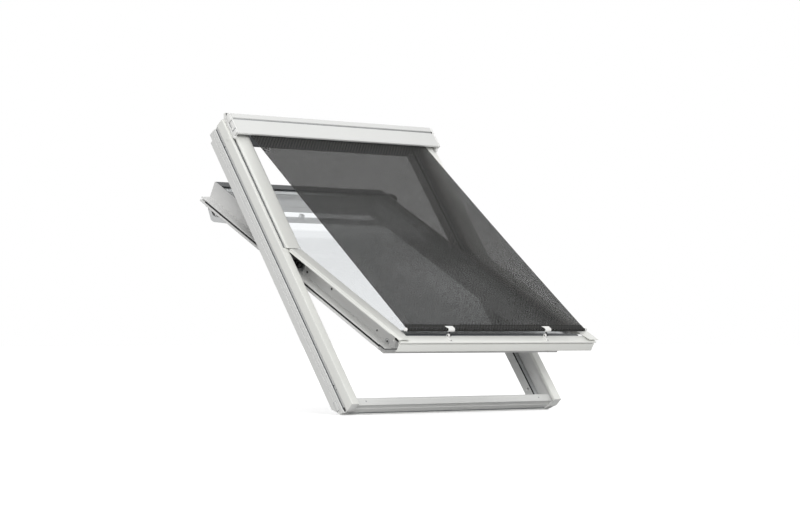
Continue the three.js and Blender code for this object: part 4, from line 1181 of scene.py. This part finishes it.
class ROOFWINDOW_OT_fittings(bpy.types.Operator):
    """Makes the casing's end caps, the hinges, the seals and the screws"""

    bl_idname = "roof_window.fittings"
    bl_label = "Caps, hinges, seals and screws"

    def execute(self, context):
        for name, side in SIDES:
            casing_cap(name, side)
            hinge(name, side)
            sash_fittings(name, side)
            frame_fittings(name, side)
        place = centred(from_frame, (0, *GUIDE_ROD))
        spun("guide_rod_turned", GUIDE_ROD_LINE, 1, place, 24, "frame", "steel", "guide_rod")
        return {"FINISHED"}


def casing_cap(name, side):
    """End cap of the casing: a plate with a notch in its slope, panels, a rail, a boss, a spindle."""
    place = across(from_frame)
    ends = [side * depth for depth in CAP_DEPTHS]
    strip(
        f"cap_plate_{name}", CAP_OUTLINE, ends, 0.3, place, "frame", "white_plastic", f"casing_cap_{name}"
    )
    for part, low, high, depths, radius, lip, slot in CAP_PLATES:
        plate(f"{part}_{name}", low, high, depths, radius, lip, side, from_frame, "frame", slot)
    ends = [side * depth for depth in CAP_NOTCH_DEPTHS]
    strip(f"cap_notch_{name}", CAP_NOTCH, ends, 0.2, place, "frame", "black_plastic")
    reach, up, out = CAP_BOSS_AT
    place = centred(from_frame, (side * reach, up, out))
    spun(f"cap_boss_{name}", CAP_BOSS, side, place, 24, "frame", "white_plastic")
    place = centred(from_frame, (0, *ROLLER_AXIS))
    spun(f"cap_spindle_{name}", CAP_SPINDLE, side, place, 24, "frame", "white_plastic")


def hinge(name, side):
    """Two plates on one pin: a drum and a domed boss between them, turned round the pin's axis."""
    back, front = f"hinge_frame_half_{name}", f"hinge_sash_half_{name}"
    plate(f"hinge_back_{name}", *HINGE_BACK, side, from_frame, "frame", "black_metal", back)
    plate(f"hinge_front_{name}", *HINGE_FRONT, side, from_sash, "sash", "steel", front)
    place = centred(from_frame, (0, *DRUM_AT))
    spun(f"hinge_drum_{name}", DRUM, side, place, 32, "frame", "black_metal")
    place = centred(from_sash, (0, *BOSS_AT))
    spun(f"hinge_boss_{name}", BOSS, side, place, 32, "sash", "black_metal")


def stud(name, body, slot, system, centre, radius, height, side, order=(0, 1, 2)):
    """A turned head: a low dome with a socket in its middle."""
    socket = SOCKET_SHARE * radius
    outline = [(0, -HEAD_SINK), (radius, -HEAD_SINK)]
    outline += [(radius * a, height * b) for a, b in arc((0, 0), 1, 0, DOME_TURN, 4)]
    outline += [(socket, height * 0.95), (socket * 0.8, height * 0.5), (0, height * 0.5)]
    return spun(name, outline, side, centred(system, centre, order), 24, body, slot)


def sash_fittings(name, side):
    """Seals under the flange of the sash, a black plate that paints the shade at the end of its cover,
    screw, plugs and round recess.
    """
    strip(
        f"seal_bulb_{name}", SASH_SEAL, SASH_SEAL_ENDS, 0.5, along(from_sash), "sash", "black_rubber",
        f"sash_seal_{name}", side=side,
    )
    plate(f"seal_run_{name}", *SEAL_RUN, side, from_sash, "sash", "black_rubber")
    # Painted shade: a black plate in the gap under the end of the cover
    plate(f"cover_end_shade_{name}", *COVER_END_SHADE, side, from_sash, "sash", "black_rubber")
    face = side * SASH_FACE
    look = ("sash", "black_metal", from_sash)
    up, out, radius, height = SASH_SCREW
    head = stud(f"screw_head_{name}", *look, (face, up, out), radius, height, side)
    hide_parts(f"screw_{name}")
    for label, up, out, radius, height in SASH_PLUGS:
        stud(f"{label}_{name}", *look, (face, up, out), radius, height, side)
    middle = (face, *RECESS_AT)
    place = centred(from_sash, middle)
    spun(f"recess_ring_{name}", RECESS_RING, side, place, 32, "sash", "steel", ring=True)
    stud(f"recess_screw_{name}", *look, middle, *RECESS_SCREW, side)


def frame_fittings(name, side):
    """Seals of the frame's sides, a step liner, strips that paint the shade in their grooves, their clips
    and plugs, and the screws of the sill.
    """
    place = along(from_frame)
    strip(
        f"frame_bulb_{name}", FRAME_BULB, STEP_ENDS, 0.3, place, "frame", "black_rubber",
        f"frame_seal_{name}", side=side,
    )
    # Two of these strips paint the shade in the band's groove and in the gap beside the cover
    for part, line, ends, slot in (
        ("step_liner", STEP_LINER, STEP_ENDS, "steel"),
        ("band_shade_strip", BAND_SHADE_STRIP, BAND_SHADE_ENDS, "dark_metal"),
        ("cover_shade_strip", COVER_SHADE_STRIP, COVER_SHADE_ENDS, "steel"),
    ):
        strip(f"{part}_{name}", line, ends, 0.3, place, "frame", slot, side=side)
    for part, low, high, depths, radius, lip, slot in FRAME_PLATES:
        plate(f"{part}_{name}", low, high, depths, radius, lip, side, from_frame, "frame", slot)
    for count, spot in enumerate(GROOVE_PLUGS):
        centre = (side * GROOVE_FACE, *spot)
        plug = f"groove_plug_{count}_{name}"
        stud(plug, "frame", "black_plastic", from_frame, centre, *GROOVE_PLUG, side)
    reach, up, out = SILL_SCREW_AT
    centre = (side * reach, up, out)
    stud(f"sill_screw_{name}", "frame", "steel", from_frame, centre, *SILL_SCREW, 1, order=(1, 2, 0))


class ROOFWINDOW_OT_stage(bpy.types.Operator):
    """Sets up the floor, the room, the key light and the camera"""

    bl_idname = "roof_window.stage"
    bl_label = "Floor, lights and camera"

    def execute(self, context):
        stage = context.scene.roof_window_stage
        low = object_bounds()[0].z
        lay_floor(stage, low)
        light_room(stage)
        set_camera(stage)
        context.scene.view_settings.view_transform = "Standard"
        return {"FINISHED"}


def lay_floor(stage, level):
    """A wide level sheet that shows white to the camera except where the window shades it."""
    span = np.linspace(-FLOOR_REACH, FLOOR_REACH, FLOOR_POINTS)
    x, y = np.meshgrid(span, span, indexing="ij")
    points = np.stack([x, y, 0 * x + level], -1).reshape(-1, 3)
    floor = mesh_object("floor", points, grid_faces(FLOOR_POINTS, FLOOR_POINTS))
    material, tree, shader = new_material("Studio floor")
    shader.inputs["Base Color"].default_value = (*stage.floor, 1)
    shader.inputs["Roughness"].default_value = 0.9
    ray = tree.nodes.new("ShaderNodeLightPath")
    seen = math_node(tree, "MAXIMUM", ray.outputs["Is Camera Ray"], ray.outputs["Is Transmission Ray"])
    lift = math_node(tree, "MULTIPLY", seen, FLOOR_LIFT)
    shader.inputs["Emission Color"].default_value = (1, 1, 1, 1)
    tree.links.new(lift, shader.inputs["Emission Strength"])
    floor.data.materials.append(material)
    floor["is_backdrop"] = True


def light_room(stage):
    """An even room light, white where it is seen, and a soft sun from above the camera's left."""
    world = bpy.data.worlds.new("Studio")
    bpy.context.scene.world = world
    world.use_nodes = True
    tree = world.node_tree
    back = tree.nodes["Background"]
    back.inputs["Color"].default_value = (1, 1, 1, 1)
    ray = tree.nodes.new("ShaderNodeLightPath")
    seen = math_node(tree, "MAXIMUM", ray.outputs["Is Camera Ray"], ray.outputs["Is Glossy Ray"])
    seen = math_node(tree, "MAXIMUM", seen, ray.outputs["Is Transmission Ray"])
    where = tree.nodes.new("ShaderNodeTexCoord")
    split = tree.nodes.new("ShaderNodeSeparateXYZ")
    tree.links.new(where.outputs["Generated"], split.inputs[0])
    room = math_node(tree, "MULTIPLY", split.outputs["Z"], stage.rise)
    room = math_node(tree, "ADD", room, stage.fill)
    unseen = math_node(tree, "MULTIPLY", room, math_node(tree, "SUBTRACT", 1.0, seen))
    tree.links.new(math_node(tree, "ADD", seen, unseen), back.inputs["Strength"])
    lamp = bpy.data.lights.new("key", "SUN")
    lamp.energy = stage.key
    lamp.angle = KEY_ANGLE
    key = bpy.data.objects.new("key", lamp)
    key.rotation_mode = "QUATERNION"
    key.rotation_quaternion = KEY_FROM.to_track_quat("Z", "Y")
    bpy.context.scene.collection.objects.link(key)


def set_camera(stage):
    data = bpy.data.cameras.new("camera")
    data.lens = stage.lens
    data.sensor_width = SENSOR_WIDTH
    camera = bpy.data.objects.new("camera", data)
    camera.location = stage.eye
    camera.rotation_mode = "QUATERNION"
    camera.rotation_quaternion = Vector(stage.look).to_track_quat("-Z", "Y")
    bpy.context.scene.collection.objects.link(camera)
    bpy.context.scene.camera = camera


class ROOFWINDOW_PT_panel(bpy.types.Panel):
    """Lists the steps in order"""

    bl_idname = "ROOFWINDOW_PT_panel"
    bl_label = "Roof window"
    bl_space_type = "VIEW_3D"
    bl_region_type = "UI"
    bl_category = "Roof window"

    def draw(self, context):
        for step in STEPS:
            self.layout.operator(step.bl_idname)


SETTINGS = {
    "roof_window_cloth": ClothSettings,
    "roof_window_finish": FinishSettings,
    "roof_window_stage": StageSettings,
}
STEPS = (
    ROOFWINDOW_OT_finishes,
    ROOFWINDOW_OT_cloth,
    ROOFWINDOW_OT_bottom_bar,
    ROOFWINDOW_OT_claddings,
    ROOFWINDOW_OT_fittings,
    ROOFWINDOW_OT_stage,
)


def register():
    for cls in (*SETTINGS.values(), *STEPS, ROOFWINDOW_PT_panel):
        bpy.utils.register_class(cls)
    for name, cls in SETTINGS.items():
        setattr(bpy.types.Scene, name, PointerProperty(type=cls))


def unregister():
    for name in SETTINGS:
        delattr(bpy.types.Scene, name)
    for cls in reversed((*SETTINGS.values(), *STEPS, ROOFWINDOW_PT_panel)):
        bpy.utils.unregister_class(cls)


def main():
    """Builds everything in order."""
    bpy.context.view_layer.update()
    register()
    bpy.ops.roof_window.finishes()
    bpy.ops.roof_window.bottom_bar()
    bpy.ops.roof_window.claddings()
    bpy.ops.roof_window.fittings()
    bpy.ops.roof_window.cloth()
    bpy.ops.roof_window.stage()
    bpy.context.view_layer.update()


if __name__ == "__main__":
    main()
